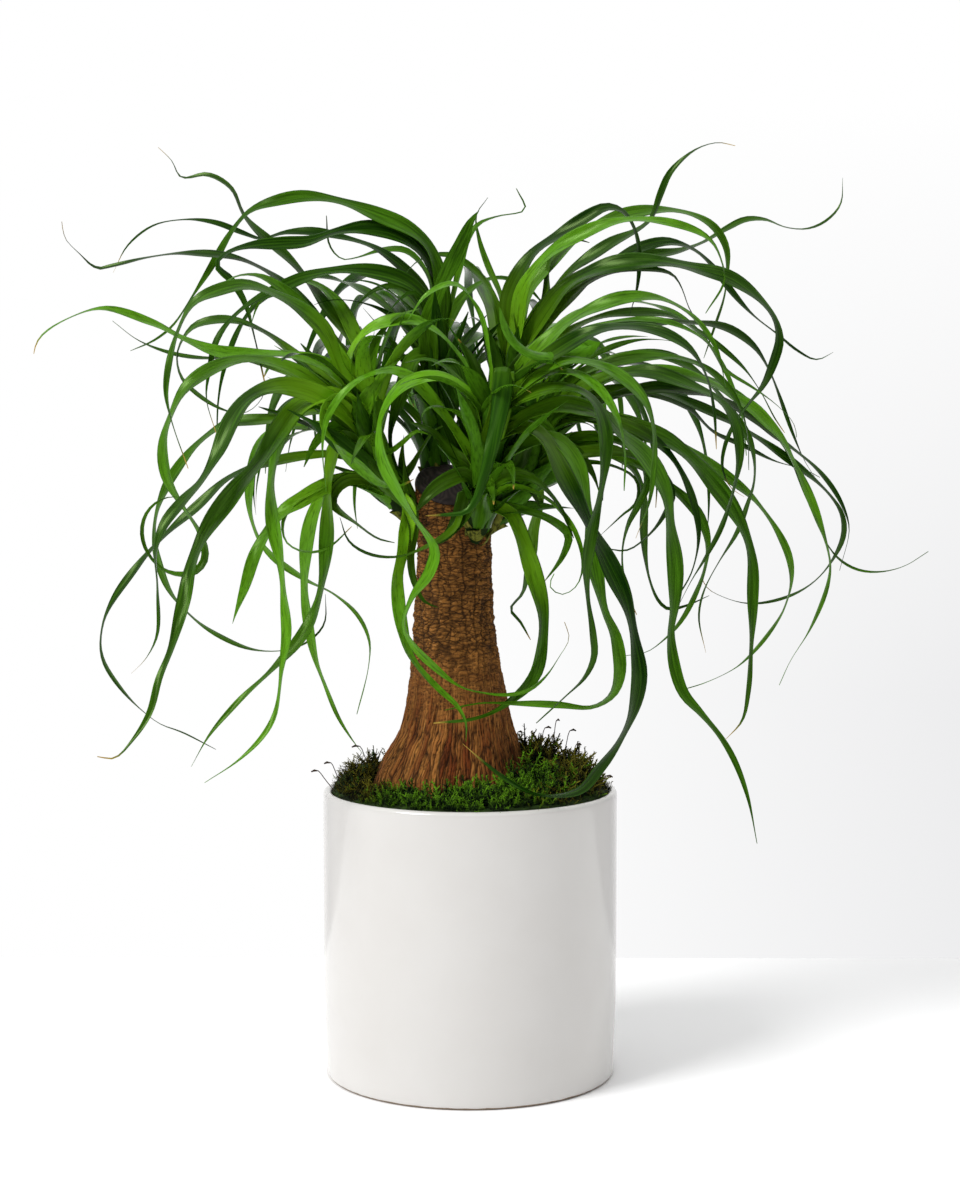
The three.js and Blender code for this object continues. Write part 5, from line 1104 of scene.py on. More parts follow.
def blade_tree():
    """Strap leaves along lines: a channelled profile turned to each point's facing and half width."""
    sizes = {"Points": "NodeSocketInt", "Channel": "NodeSocketFloat", "Thickness": "NodeSocketFloat"}
    tree, given = start_tree("Strap leaves", {**sizes, "Finish": "NodeSocketMaterial"})
    facing = add_node(tree, NAMED, {"Name": "facing"}, data_type="FLOAT_VECTOR").outputs[0]
    half = add_node(tree, NAMED, {"Name": "half"}).outputs[0]
    width = add_node(tree, MATH, {0: half, 1: MM}, operation="MULTIPLY").outputs[0]
    lines = add_node(tree, "GeometryNodeMeshToCurve", {"Mesh": given["Geometry"]}).outputs[0]
    faced = add_node(tree, "GeometryNodeSetCurveNormal", {"Curve": lines}, mode="FREE")
    tree.links.new(facing, faced.inputs["Normal"])
    ring = add_node(tree, CIRCLE, {"Resolution": given["Points"], "Radius": 1}).outputs[0]
    spot = add_node(tree, "GeometryNodeInputPosition").outputs[0]
    sideways, upward, _ = add_node(tree, TO_PARTS, {0: spot}).outputs
    sided = add_node(tree, STORE, {"Geometry": ring, "Name": "side", "Value": sideways}).outputs[0]
    lower = add_node(tree, MATH, {0: upward, 1: 0}, operation="LESS_THAN").outputs[0]
    backed = add_node(tree, STORE, {"Geometry": sided, "Name": "under", "Value": lower}).outputs[0]
    # The edges rise into a channel, and the ring is pressed flat.
    spread_out = add_node(tree, MATH, {0: sideways}, operation="ABSOLUTE").outputs[0]
    raised = add_node(tree, MATH, {0: spread_out, 1: CHANNEL_POWER}, operation="POWER").outputs[0]
    lift = add_node(tree, MATH, {0: raised, 1: given["Channel"]}, operation="MULTIPLY").outputs[0]
    pressed = {0: upward, 1: given["Thickness"], 2: lift}
    thick = add_node(tree, MATH, pressed, operation="MULTIPLY_ADD").outputs[0]
    section = add_node(tree, FROM_PARTS, {0: sideways, 1: thick}).outputs[0]
    profile = add_node(tree, PLACE, {"Geometry": backed, "Position": section}).outputs[0]
    swept = add_node(
        tree,
        SWEEP,
        {"Curve": faced.outputs[0], "Profile Curve": profile, "Scale": width, "Fill Caps": True},
    ).outputs[0]
    # A leaf's foot clasps the stem: its edges rise further.
    rise = add_node(tree, NAMED, {"Name": "rise"}, data_type="FLOAT_VECTOR").outputs[0]
    clasp = add_node(tree, NAMED, {"Name": "clasp"}).outputs[0]
    side = add_node(tree, NAMED, {"Name": "side"}).outputs[0]
    square = add_node(tree, MATH, {0: side, 1: 2}, operation="POWER").outputs[0]
    curl = add_node(tree, MATH, {0: square, 1: clasp}, operation="MULTIPLY").outputs[0]
    shift = add_node(tree, VECTOR_MATH, {0: rise, 3: curl}, operation="SCALE").outputs[0]
    clasped = add_node(tree, PLACE, {"Geometry": swept, "Offset": shift}).outputs[0]
    return end_tree(tree, clasped, given["Finish"])


def thread_tree():
    """Round threads along lines, as thick as each point says."""
    tree, given = start_tree("Round threads", {"Sides": "NodeSocketInt", "Finish": "NodeSocketMaterial"})
    half = add_node(tree, NAMED, {"Name": "half"}).outputs[0]
    width = add_node(tree, MATH, {0: half, 1: MM}, operation="MULTIPLY").outputs[0]
    lines = add_node(tree, "GeometryNodeMeshToCurve", {"Mesh": given["Geometry"]}).outputs[0]
    ring = add_node(tree, CIRCLE, {"Resolution": given["Sides"], "Radius": 1}).outputs[0]
    swept = add_node(
        tree, SWEEP, {"Curve": lines, "Profile Curve": ring, "Scale": width, "Fill Caps": True}
    ).outputs[0]
    return end_tree(tree, swept, given["Finish"])


def moss_tree():
    """Feathery sprigs over a surface: leaflets in a spiral up each bent stem."""
    sizes = {"Density": "NodeSocketFloat", "Seed": "NodeSocketInt", "Finish": "NodeSocketMaterial"}
    sizes.update(dict.fromkeys(("Length", "Leaflet", "Width", "Lean"), "NodeSocketFloat"))
    tree, given = start_tree("Feather moss", sizes)
    # A stem that leans further towards its tip.
    line_end = add_node(tree, FROM_PARTS, {2: given["Length"]}).outputs[0]
    line = add_node(tree, "GeometryNodeCurvePrimitiveLine", {"End": line_end}).outputs[0]
    points = {"Curve": line, "Count": SPRIG_POINTS}
    fine = add_node(tree, "GeometryNodeResampleCurve", points).outputs[0]
    factor = add_node(tree, "GeometryNodeSplineParameter").outputs[0]
    bow = add_node(tree, MATH, {0: factor, 1: 2}, operation="POWER").outputs[0]
    lean = add_node(tree, MATH, {0: bow, 1: given["Lean"]}, operation="MULTIPLY").outputs[0]
    aside = add_node(tree, FROM_PARTS, {0: lean}).outputs[0]
    bent = add_node(tree, PLACE, {"Geometry": fine, "Offset": aside}).outputs[0]
    # The tip value runs from foot to tip; the finish turns it into painted shade at the foot and a painted
    # highlight at the tip.
    stem = add_node(tree, STORE, {"Geometry": bent, "Name": "tip", "Value": factor}).outputs[0]
    # Three-sided leaflets round it, smaller towards the tip.
    cone = {"Vertices": 3, "Side Segments": 1, "Radius Top": 0.0}
    cone.update({"Radius Bottom": given["Width"], "Depth": given["Leaflet"]})
    leaflet = add_node(tree, "GeometryNodeMeshCone", cone).outputs[0]
    index = add_node(tree, "GeometryNodeInputIndex").outputs[0]
    spiral = add_node(tree, MATH, {0: index, 1: GOLDEN_TURN}, operation="MULTIPLY").outputs[0]
    turn = add_node(tree, FROM_PARTS, {0: LEAFLET_LEAN, 2: spiral}).outputs[0]
    low, high = LEAFLET_SIZES
    size = add_node(tree, MAP, {"Value": factor, "To Min": low, "To Max": high}).outputs[0]
    leaflets = add_node(
        tree, COPIES, {"Points": stem, "Instance": leaflet, "Rotation": turn, "Scale": size}
    )
    ring = add_node(tree, CIRCLE, {"Resolution": 3, "Radius": given["Width"]}).outputs[0]
    coarse = add_node(tree, "GeometryNodeResampleCurve", {"Curve": stem, "Count": STALK_POINTS}).outputs[0]
    stalk = add_node(
        tree,
        SWEEP,
        {"Curve": coarse, "Profile Curve": ring, "Scale": STALK_WIDTH, "Fill Caps": True},
    )
    joined = add_node(tree, "GeometryNodeJoinGeometry")
    tree.links.new(leaflets.outputs[0], joined.inputs[0])
    tree.links.new(stalk.outputs[0], joined.inputs[0])
    sprig = add_node(tree, "GeometryNodeRealizeInstances", {"Geometry": joined.outputs[0]}).outputs[0]
    # Sprigs stand over the ground as thickly and as large as its attributes say.
    cover = add_node(tree, NAMED, {"Name": "cover"}).outputs[0]
    density = add_node(tree, MATH, {0: cover, 1: given["Density"]}, operation="MULTIPLY").outputs[0]
    spots = add_node(
        tree,
        "GeometryNodeDistributePointsOnFaces",
        {"Mesh": given["Geometry"], "Density": density, "Seed": given["Seed"]},
    ).outputs
    tilts = {0: (-SPRIG_TILT, -SPRIG_TILT, 0), 1: (SPRIG_TILT, SPRIG_TILT, math.tau)}
    tilt = add_node(tree, RANDOM, tilts, data_type="FLOAT_VECTOR").outputs[0]
    turned = add_node(
        tree, "FunctionNodeRotateRotation", {0: spots["Rotation"], 1: tilt}, rotation_space="LOCAL"
    ).outputs[0]
    low, high = SPRIG_SIZES
    varied = add_node(tree, RANDOM, {2: low, 3: high, "Seed": 3}).outputs[1]
    size = add_node(tree, NAMED, {"Name": "size"}).outputs[0]
    scale = add_node(tree, MATH, {0: varied, 1: size}, operation="MULTIPLY").outputs[0]
    sprigs = add_node(
        tree, COPIES, {"Points": spots[0], "Instance": sprig, "Rotation": turned, "Scale": scale}
    ).outputs[0]
    shade = add_node(tree, RANDOM, {2: 0.0, 3: 1.0, "Seed": 5}).outputs[1]
    shaded = add_node(
        tree, STORE, {"Geometry": sprigs, "Name": "shade", "Value": shade}, domain="INSTANCE"
    ).outputs[0]
    return end_tree(tree, shaded, given["Finish"])


# Settings. Lengths are given here in millimetres and kept in metres.
def length_setting(name, description, size):
    return bpy.props.FloatProperty(
        name=name,
        description=description,
        subtype="DISTANCE",
        unit="LENGTH",
        default=size * MM,
        min=0,
        precision=5,
    )


def share_setting(name, description, value):
    return bpy.props.FloatProperty(
        name=name, description=description, subtype="FACTOR", default=value, min=0, max=1
    )


def count_setting(name, description, value, low):
    return bpy.props.IntProperty(
        name=name, description=description, subtype="UNSIGNED", default=value, min=low
    )


def angle_setting(name, description, degrees):
    return bpy.props.FloatProperty(
        name=name,
        description=description,
        subtype="ANGLE",
        unit="ROTATION",
        default=math.radians(degrees),
        min=0,
    )


def colour_setting(name, description, text):
    return bpy.props.FloatVectorProperty(
        name=name, description=description, subtype="COLOR", size=3, default=colour(text)[:3], min=0, max=1
    )


class PotSettings(bpy.types.PropertyGroup):
    glaze: colour_setting("Glaze", "Colour of the pot's glaze", "#d6d4d1")
    foot: length_setting("Bare foot", "Height of the unglazed line at the foot", 1.0)
    sides: count_setting("Sides", "Facets round the pot", 144, 24)


class TrunkSettings(bpy.types.PropertyGroup):
    bark: colour_setting("Bark", "Colour of the bark's ridges", "#b07638")
    groove: length_setting("Groove depth", "Depth of the fine grooves in the bark", 0.75)
    flake: length_setting("Flake height", "Height of the rough flakes", 0.5)
    sides: count_setting("Sides", "Points round the trunk", 300, 24)
    rows: count_setting("Rows", "Rings of points up the trunk", 300, 12)


class MossSettings(bpy.types.PropertyGroup):
    green: colour_setting("Green", "Brightest colour of the fresh moss", "#679a18")
    olive: colour_setting("Olive", "Brightest colour of the old moss", "#6f6a18")
    density: bpy.props.FloatProperty(
        name="Density", description="Sprigs in a square centimetre", subtype="UNSIGNED", default=13, min=0
    )
    length: length_setting("Length", "Length of a sprig", 10.5)
    seed: count_setting("Seed", "Changes where the sprigs stand", 6, 0)


class LeafSettings(bpy.types.PropertyGroup):
    deep: colour_setting("Deep green", "Colour of the darkest leaves", "#0a2803")
    green: colour_setting("Green", "Colour of the lightest grown leaves", "#5a9414")
    young: colour_setting("Young green", "Colour of a young leaf's foot", "#98d622")
    roughness: share_setting("Roughness", "How dull the leaves are", 0.25)
    spacing: length_setting("Spacing", "Distance between a leaf's sections", 4.5)
    points: count_setting("Points", "Points round a leaf's section", 12, 6)
    channel: share_setting("Channel", "How high a blade's edges rise, as a share of the half width", 0.3)
    thickness: share_setting("Thickness", "Half thickness as a share of the half width", 0.055)
    vein: length_setting("Vein width", "Width of a vein, coarse enough to show", 1.3)
    wave: angle_setting("Wave", "How far a blade rocks about its own line", 12)


class StageSettings(bpy.types.PropertyGroup):
    floor: colour_setting("Floor", "Colour of the floor", "#fafafa")
    back: length_setting("Floor behind", "How far the floor goes behind the pot", 330)
    key: bpy.props.FloatProperty(
        name="Key light",
        description="Strength of the key lamp, in W/m2",
        subtype="UNSIGNED",
        default=2.1,
        min=0,
    )
    size: angle_setting("Key size", "How wide the key lamp looks from the plant", 22)


# Operators.
class Builder:
    """What the operators share."""

    bl_options = {"REGISTER"}


class PALM_OT_pot(Builder, bpy.types.Operator):
    """Turns the glazed pot with its rounded rim and bare foot"""

    bl_idname = "palm.pot"
    bl_label = "Build pot"

    # The hollow underneath, the foot's rounding, and the wall's swell between two heights.
    HOLLOW = 1.2
    ROUNDING = 2.6
    SWELL = 1.6
    SWELL_HEIGHTS = (4, 60)

    def execute(self, context):
        look = context.scene.palm_pot
        inner = POT_RADIUS - POT_WALL
        rim = POT_WALL / 2
        top = POT_HEIGHT - rim
        hollow, rounding, swell = self.HOLLOW, self.ROUNDING, self.SWELL
        arc = np.radians(np.linspace(0, 180, 19))
        foot = np.radians(np.linspace(-90, 0, 6))
        levels = np.linspace(8, top - 4, 28)
        profile = [(1, hollow), (POT_RADIUS - 14, hollow), (POT_RADIUS - 12.5, 0.2), (POT_RADIUS - 5, 0)]
        profile += [(POT_RADIUS - 4.4 + rounding * np.cos(a), rounding + rounding * np.sin(a)) for a in foot]
        profile += [(POT_RADIUS - swell + swell * smooth(z, *self.SWELL_HEIGHTS), z) for z in levels]
        profile += [(POT_RADIUS - rim + rim * np.cos(a), top + rim * np.sin(a)) for a in arc]
        profile += [(inner, z) for z in (POT_HEIGHT - 12, SOIL_TOP - 40, POT_FLOOR + 4)]
        profile += [(inner - 4, POT_FLOOR), (1, POT_FLOOR)]
        angle = np.arange(look.sides) / look.sides * math.tau
        rings = [[(r * np.cos(a), r * np.sin(a), z) for a in angle] for r, z in profile]
        piece = loft("glazed_pot", rings, glazed_stoneware(look))
        finish_piece(piece, "glazed_ceramic", "pot")
        return {"FINISHED"}


class PALM_OT_soil(Builder, bpy.types.Operator):
    """Gives the soil below the moss its finish"""

    bl_idname = "palm.soil"
    bl_label = "Finish soil"

    def execute(self, context):
        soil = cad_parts["soil"]
        soil.data.materials.clear()
        soil.data.materials.append(potting_soil())
        return {"FINISHED"}


def moss_ground(rows, sides):
    """Points of the moss's surface, from the trunk out to the pot's wall, in rings."""
    angle = np.arange(sides) / sides * math.tau
    middle, radius = trunk_at(MOSS_MEETS_TRUNK)
    inner = radius * ridge(angle, MOSS_MEETS_TRUNK) - 1.5
    outer = POT_RADIUS - POT_WALL - SEAT_GAP
    rings = []
    for share in np.linspace(0, 1, rows):
        x = (middle + inner * np.cos(angle)) * (1 - share) + outer * np.cos(angle) * share
        y = inner * np.sin(angle) * (1 - share) + outer * np.sin(angle) * share
        rings.append(np.stack([x, y, moss_height(x, y)], axis=1))
    rings = np.array(rings)
    bumpy = 1.8 * lumps(rings * (1, 1, 0), 9) + 0.9 * lumps(rings * (1, 1, 0), 4, 2)
    rings[..., 2] += bumpy * smooth(np.linspace(1, 0, rows), 0, 0.06)[:, None]
    rings[-1, :, 2] -= 3
    return rings


class PALM_OT_moss(Builder, bpy.types.Operator):
    """Lays the moss mat and covers it with fresh and old sprigs"""

    bl_idname = "palm.moss"
    bl_label = "Grow moss"

    # Rings of points in the ground, and points round each.
    ROWS = 26
    SIDES = 150

    def execute(self, context):
        look = context.scene.palm_moss
        ground = moss_ground(self.ROWS, self.SIDES)
        floor = ground[::-1].copy()
        floor[..., 2] = SOIL_TOP + SEAT_GAP
        mat = self.ring_piece(np.concatenate([ground, floor[:1], floor[-1:]]))
        finish_piece(mat, "moss", "moss")
        x, y, _ = ground.reshape(-1, 3).T
        reach = np.hypot(x, y) / (POT_RADIUS - POT_WALL)
        patch = lumps(ground * (1, 1, 0), 16, 4).ravel()
        # Fresh moss grows in front of the trunk, with a clump at the right and patches elsewhere.
        fresh = np.exp(-(((x + 10) / 52) ** 4)) * smooth(-y, 30, 58)
        fresh += 0.9 * np.exp(-((x - 42) ** 2 + (y + 44) ** 2) / 500)
        fresh = np.clip(fresh * 1.3 + 0.5 * patch, 0.04, 1)
        # Sprigs stand in clumps, thicker and smaller near the wall, and none is rooted right at it.
        clump = smooth(lumps(ground * (1, 1, 0), 11, 8).ravel(), -0.55, 0.15) * 1.3
        inside = clump * smooth(-reach, -0.995, -0.965) * (1 + smooth(reach, 0.84, 0.93))
        # Cover, then the sprig's length, its leaflets' length and width and its lean as shares of
        # the setting, and its dark and light colours.
        kinds = {
            "moss_fresh": (fresh, (1.0, 0.4, 0.062, 0.35), "#0b2004", look.green),
            "moss_old": (1 - fresh, (1.15, 0.3, 0.05, 0.55), "#0e1004", look.olive),
        }
        tree = moss_tree()
        for name, (cover, sizes, dark, light) in kinds.items():
            seed_mesh = self.open_mesh(ground)
            spread(seed_mesh, "cover", cover * inside)
            size = (0.38 + 0.62 * smooth(-reach, -0.97, -0.82)) * (1 - 0.3 * smooth(-x, 20, 60))
            spread(seed_mesh, "size", size)
            finish = feather_moss(name.replace("_", " "), colour(dark), (*light, 1))
            values = {"Density": look.density * 1e4, "Seed": look.seed, "Finish": finish}
            for key, share in zip(("Length", "Leaflet", "Width", "Lean"), sizes):
                values[key] = look.length * share
            finish_piece(grow(name, seed_mesh, tree, values), "moss")
        return {"FINISHED"}

    def ring_piece(self, rings):
        """A closed ring of material round the trunk, its last row joined to its first."""
        mesh = self.open_mesh(rings, closed=True)
        mesh.shade_smooth()
        spread(mesh, "shade", 0.5 + 0.5 * lumps(rings, 5, 12).ravel())
        spread(mesh, "tip", 0.6 + 0.4 * lumps(rings, 2.5, 13).ravel())
        mesh.materials.append(feather_moss("moss mat", colour("#101a05"), colour("#2c4410")))
        mat = bpy.data.objects.new("moss_mat", mesh)
        bpy.context.scene.collection.objects.link(mat)
        return mat

    def open_mesh(self, rings, closed=False):
        """Rings of points joined by faces, and the last ring to the first where closed."""
        count, sides = rings.shape[:2]
        side = np.arange(sides)
        row = np.arange(count if closed else count - 1)[:, None]
        here, above = row * sides, (row + 1) % count * sides
        after = (side + 1) % sides
        quads = np.stack([here + side, above + side, above + after, here + after], axis=-1).reshape(-1, 4)
        mesh = bpy.data.meshes.new("moss ground")
        mesh.from_pydata((rings.reshape(-1, 3) * MM).tolist(), [], quads.tolist())
        return mesh


class PALM_OT_stalks(Builder, bpy.types.Operator):
    """Stands the thin spore stalks in the moss"""

    bl_idname = "palm.stalks"
    bl_label = "Grow spore stalks"

    # Half a stalk's thickness, and how much its capsule adds.
    HALF = 0.32
    CAPSULE = 0.6
    # Foot x and y, tip x and height, and the lean at the tip.
    STALKS = [
        (-86, -18, -104, 211, -3),
        (-84, -8, -95, 215, -4),
        (-66, 8, -76, 224, -5),
        (44, -6, 51, 239, 4),
        (54, 2, 59, 243, 2),
        (66, 4, 73, 226, 3),
        (84, -22, 92, 208, 4),
        (30, 22, 33, 232, 3),
        (-40, 58, -46, 226, -4),
        (62, 46, 70, 230, 4),
    ]

    def execute(self, context):
        strands = []
        for foot_x, foot_y, tip_x, tip_z, hook in self.STALKS:
            base = float(moss_height(foot_x, foot_y)) - 4
            share = np.linspace(0, 1, 14)
            x = foot_x + (tip_x - foot_x) * share**0.8 + hook * smooth(share, 0.8, 1)
            z = base + (tip_z - base) * np.minimum(share * 1.12, 1) - 1.6 * smooth(share, 0.86, 1)
            swell = self.CAPSULE * np.exp(-(((share - 0.94) / 0.05) ** 2))
            line = np.stack([x, foot_y + 0 * x, z], axis=1)
            strands.append({"middle": line, "half": self.HALF + swell})
        values = {"Sides": 6, "Finish": plain_finish("dark spore stalk", "#3a2a18", 0.6, 0.2)}
        piece = grow("spore_stalks", spine_mesh("stalk lines", strands), thread_tree(), values)
        finish_piece(piece, "moss")
        return {"FINISHED"}


class PALM_OT_trunk(Builder, bpy.types.Operator):
    """Raises the flared stump with its cracked, fibrous bark"""

    bl_idname = "palm.trunk"
    bl_label = "Build trunk"

    # The lumps between grooves, in mm on each axis: level cracks, upright fibres, short cracks across
    # and long fissures.
    LEVEL = (15, 15, 2.8)
    UPRIGHT = (2.4, 2.4, 26)
    ACROSS = (7, 7, 4.6)
    FISSURE = (9, 9, 70)

    def execute(self, context):
        look = context.scene.palm_trunk
        low, high = TRUNK_OUTLINE[0][0], TRUNK_OUTLINE[-1][0]
        angle = np.arange(look.sides) / look.sides * math.tau
        levels = np.linspace(low, CUT_HEIGHT, look.rows)
        rings = []
        for level in levels:
            height = min(level, high)
            middle, radius = trunk_at(height)
            radius = radius * ridge(angle, height) * (1 - 0.02 * smooth(level, high, CUT_HEIGHT))
            x, y = middle + radius * np.cos(angle), radius * np.sin(angle)
            above = max(0, (level - high) / (CUT_HEIGHT - high))
            z = height + (cut_plane(x, y) - height) * above
            rings.append(np.stack([x, y, z], axis=1))
        rings = np.array(rings)
        outward = np.stack([np.cos(angle), np.sin(angle), 0 * angle], axis=1)[None]
        upper = smooth(rings[..., 2], *BARK_CHANGE)
        wavy = rings + 2.2 * lumps(rings, 8)[..., None]
        wrapped = FOOT_WRAP * outward + wavy * (0, 0, 1) + 1.2 * lumps(rings, 8)[..., None]
        level = grooves(wavy, self.LEVEL, 1)
        upright = grooves(wrapped, self.UPRIGHT, 3)
        across = grooves(wavy, self.ACROSS, 4)
        fissure = grooves(wavy, self.FISSURE, 9)
        depth = np.maximum((1 - level) * upper, (1 - upright) * (1 - 0.6 * upper))
        depth = np.maximum(depth, (1 - fissure) * upper)
        depth = np.maximum(depth, (1 - across) * (0.2 + 0.55 * upper))
        flake, groove = look.flake / MM, look.groove / MM
        # Flakes above and fibres at the foot, broad ribs, and shallow rings above.
        rough = flake * upper * lumps(rings, (3, 3, 2))
        rough += flake * (1 - upper) * lumps(wrapped, (2.2, 2.2, 16), 7)
        rough += 1.1 * lumps(rings, (9, 9, 26), 5)
        rough += 0.8 * lumps(rings, (30, 30, 4.2), 6) * upper
        x, y, z = np.moveaxis(rings, -1, 0)
        knot = np.exp(-(((x - KNOT[0]) / KNOT[2]) ** 2 + ((z - KNOT[1]) / KNOT[2]) ** 2)) * (y < 0)
        lift = rough - groove * depth - KNOT_DEPTH * knot
        lift *= smooth(np.linspace(0, look.rows, look.rows)[:, None], look.rows, look.rows - 6)
        rings = rings + outward * lift[..., None]
        piece = loft("bark_trunk", rings, cork_bark(look))
        # Painted shade for the finish: darker in the grooves (partly the bark's own dark fissures), at low
        # spots of the relief and in the knot's hollow.
        light = (1 - 0.85 * depth) * (0.7 + 0.3 * smooth(rough, -1, 0.6)) * (1 - 0.9 * knot)
        spread(piece.data, "cracks_and_shade", np.append(light.ravel(), [1, 1]))
        finish_piece(piece, "bark", "trunk")
        return {"FINISHED"}


class PALM_OT_cut(Builder, bpy.types.Operator):
    """Seals the sloping cut on top of the trunk"""

    bl_idname = "palm.cut"
    bl_label = "Build sealed cut"

    def execute(self, context):
        sides, height = 120, TRUNK_OUTLINE[-1][0]
        angle = np.arange(sides) / sides * math.tau
        middle, radius = trunk_at(height)
        # Shares of the radius and heights over the cut: an upright edge, then the dome.
        layers = [(0.95, SEAT_GAP), (0.955, 0.9), (0.945, 1.7), (0.92, 2.4)]
        layers += [(share, CUT_DOME - 3.1 * (share / 0.92) ** 2) for share in np.linspace(0.88, 0.03, 34)]
        rings = []
        for share, lift in layers:
            reach = radius * ridge(angle, height) * share
            x, y = middle + reach * np.cos(angle), reach * np.sin(angle)
            rings.append(np.stack([x, y, cut_plane(x, y) + lift], axis=1))
        rings = np.array(rings)
        bent = rings[..., 0] * 0.9 + 0.008 * (rings[..., 1] + 10) ** 2 + 7 * lumps(rings, 13)
        grain = 0.5 + 0.5 * np.sin(bent * math.tau / 2.6)
        inside = smooth(np.arange(len(layers)), 3, 8)[:, None]
        rings[..., 2] += inside * (0.25 * grain + 1.1 * lumps(rings, 8, 1))
        piece = loft("sealed_cut_cap", rings, sealed_cut())
        spread(piece.data, "grain", np.append(grain.ravel(), [0.5, 0.5]))
        finish_piece(piece, "sealed_cut", "cut_cap")
        return {"FINISHED"}


def blade_strand(leaf, shares, look, draw):
    """One leaf's line of points with its facing, width and colour values."""
    rows = sections(leaf, shares)
    length = leaf["curve"].lengths[-1]
    # Painted light and shade: the head's value makes leaves towards the lamp lighter, and those inside and
    # behind the crown darker.
    tint = TINT_REACH * HEAD_TINT_AND_SHADE[leaf["head"]] * draw() ** TINT_SKEW
    # Painted shade: short leaves, deep among the others, are darker and less yellow.
    tint = float(np.clip(tint * (SHORT_LEAF_SHADE if length < SHORT_LEAF else 1), 0, 1))
    youth = HEAD_YOUTH[leaf["head"]] * (SHORT_YOUTH if length < SHORT_LEAF else 1)
    phase = draw() * math.tau
    rock = look.wave * np.sin(length / WAVE_LENGTH * shares * math.tau + phase)
    rock *= smooth(shares, 0, 0.3) * (1 + shares)
    breadth = BROAD - NARROW_TIPS * smooth(shares, 0.4, 0.95)
    turned = rows["across"] * np.cos(rock)[:, None] + rows["up"] * np.sin(rock)[:, None]
    rise = rows["up"] * np.cos(rock)[:, None] - rows["across"] * np.sin(rock)[:, None]
    same = np.ones(len(shares))
    return {
        "middle": rows["middle"],
        "facing": turned,
        "rise": rise,
        "half": rows["half"] * breadth,
        "share": shares,
        "run": length * shares,
        "clasp": rows["half"] * 0.5 * (1 - smooth(shares * length, *CLASP)) * MM,
        # Painted shade: the tint darkens towards the tip, where the leaf hangs away from the light.
        "tint": tint * (1 - TIP_SHADE * shares),
        "fresh": min(1, youth * leaf.get("youth", 0.5 + draw())) * same,
        "dry": leaf["dry"] * same,
    }


class PALM_OT_leaves(Builder, bpy.types.Operator):
    """Grows the strap leaves of each head along their lines"""

    bl_idname = "palm.leaves"
    bl_label = "Grow leaves"

    def execute(self, context):
        look = context.scene.palm_leaves
        waxy = waxy_leaf(look, "waxy strap leaf", WAXY_GLOSS)
        worn = waxy_leaf(look, "older strap leaf", WORN_GLOSS)
        tree, draw = blade_tree(), random_from(7)
        leaves = place_leaves()
        for head in STEMS:
            strands = []
            for leaf in leaves:
                if leaf["head"] == head:
                    leaf["dry"] = float(draw() < DRY_TIPS or len(strands) in DRY_LEAVES.get(head, ()))
                    count = int(np.clip(leaf["curve"].lengths[-1] * MM / look.spacing, 18, 110))
                    strands.append(blade_strand(leaf, np.linspace(0, 1, count), look, draw))
            values = {"Points": look.points, "Channel": look.channel, "Thickness": look.thickness}
            values["Finish"] = worn if head in WORN_HEADS else waxy
            piece = grow(f"leaves_{head}", spine_mesh(f"{head} lines", strands), tree, values)
            finish_piece(piece, "leaf", f"head_{head}")
        return {"FINISHED"}


class PALM_OT_stems(Builder, bpy.types.Operator):
    """Builds each head's short stem, wrapped in the dried feet of old leaves"""

    bl_idname = "palm.stems"
    bl_label = "Build stems and sheaths"

    # How much of the solid stem's radius the core fills, and half a wrap's thickness over its half width.
    CORE = 0.85
    THICKNESS = 0.06
    # How many wrap a stem, the lowest and highest mark, the lengths in mm, and the lean at the tip.
    WRAPS = {"bases": (18, 0.16, 0.9, 38, 95, 0.5), "sheath": (5, 0.04, 0.2, 9, 14, 0.25)}

    def execute(self, context):
        look = context.scene.palm_leaves
        threads, blades, draw = thread_tree(), blade_tree(), random_from(23)
        core = plain_finish("dull green stem", "#1b2e0a", 0.9, 0.1)
        foot = waxy_leaf(look, "dull foot of a leaf", FOOT_GLOSS)
        finishes = {"bases": foot, "sheath": papery_sheath()}
        for head, rows in STEMS.items():
            curve = Curve([row[:3] for row in rows])
            marks = np.linspace(0, 1, 60)
            rings = np.interp(marks, np.linspace(0, 1, len(rows)), [row[3] for row in rows])
            ends = smooth(-marks, -1.02, -0.9) * smooth(marks, -0.2, 0.25)
            strand = {"middle": curve.at(marks), "half": rings * self.CORE * ends}
            values = {"Sides": 18, "Finish": core}
            stem = grow(f"stem_{head}", spine_mesh("stem line", [strand]), threads, values)
            finish_piece(stem, "leaf")
            for kind, finish in finishes.items():
                count, low, high, short, long, lean = self.WRAPS[kind]
                strands = []
                for turn in range(count):
                    mark = low + (high - low) * turn / (count - 1)
                    length = short + (long - short) * draw()
                    strands.append(self.wrap(head, curve, rings, turn, (mark, length, lean), look, draw))
                values = {"Points": look.points, "Channel": look.channel, "Finish": finish}
                values["Thickness"] = self.THICKNESS
                piece = grow(f"{kind}_{head}", spine_mesh(f"{kind} lines", strands), blades, values)
                finish_piece(piece, "leaf")
        return {"FINISHED"}

    def wrap(self, head, curve, radii, turn, form, look, draw):
        """One leaf's broad foot, which clasps the stem and leans out at its tip."""
        mark, length, lean = form
        start, along = curve.at(mark)[0], curve.at(mark + 0.05)[0]
        along = (along - start) / np.linalg.norm(along - start)
        bearing = turn * GOLDEN_TURN
        flat = np.array([math.cos(bearing), math.sin(bearing), 0])
        out = flat - along * np.dot(flat, along)
        out /= np.linalg.norm(out)
        radius = float(np.interp(mark, np.linspace(0, 1, len(radii)), radii))
        share = np.linspace(0, 1, 6)[:, None]
        points = start + out * (radius * 0.92 + length * lean * share**2) + along * length * share
        width = np.cross(along, out)
        leaf = {"head": head, "wide": 12 + 4 * draw(), "curve": Curve(points), "dry": 0}
        leaf["youth"] = draw()
        leaf["facing"] = lambda shares, _: np.tile(width, (len(shares), 1))
        return blade_strand(leaf, np.linspace(0, 1, 16), look, draw)


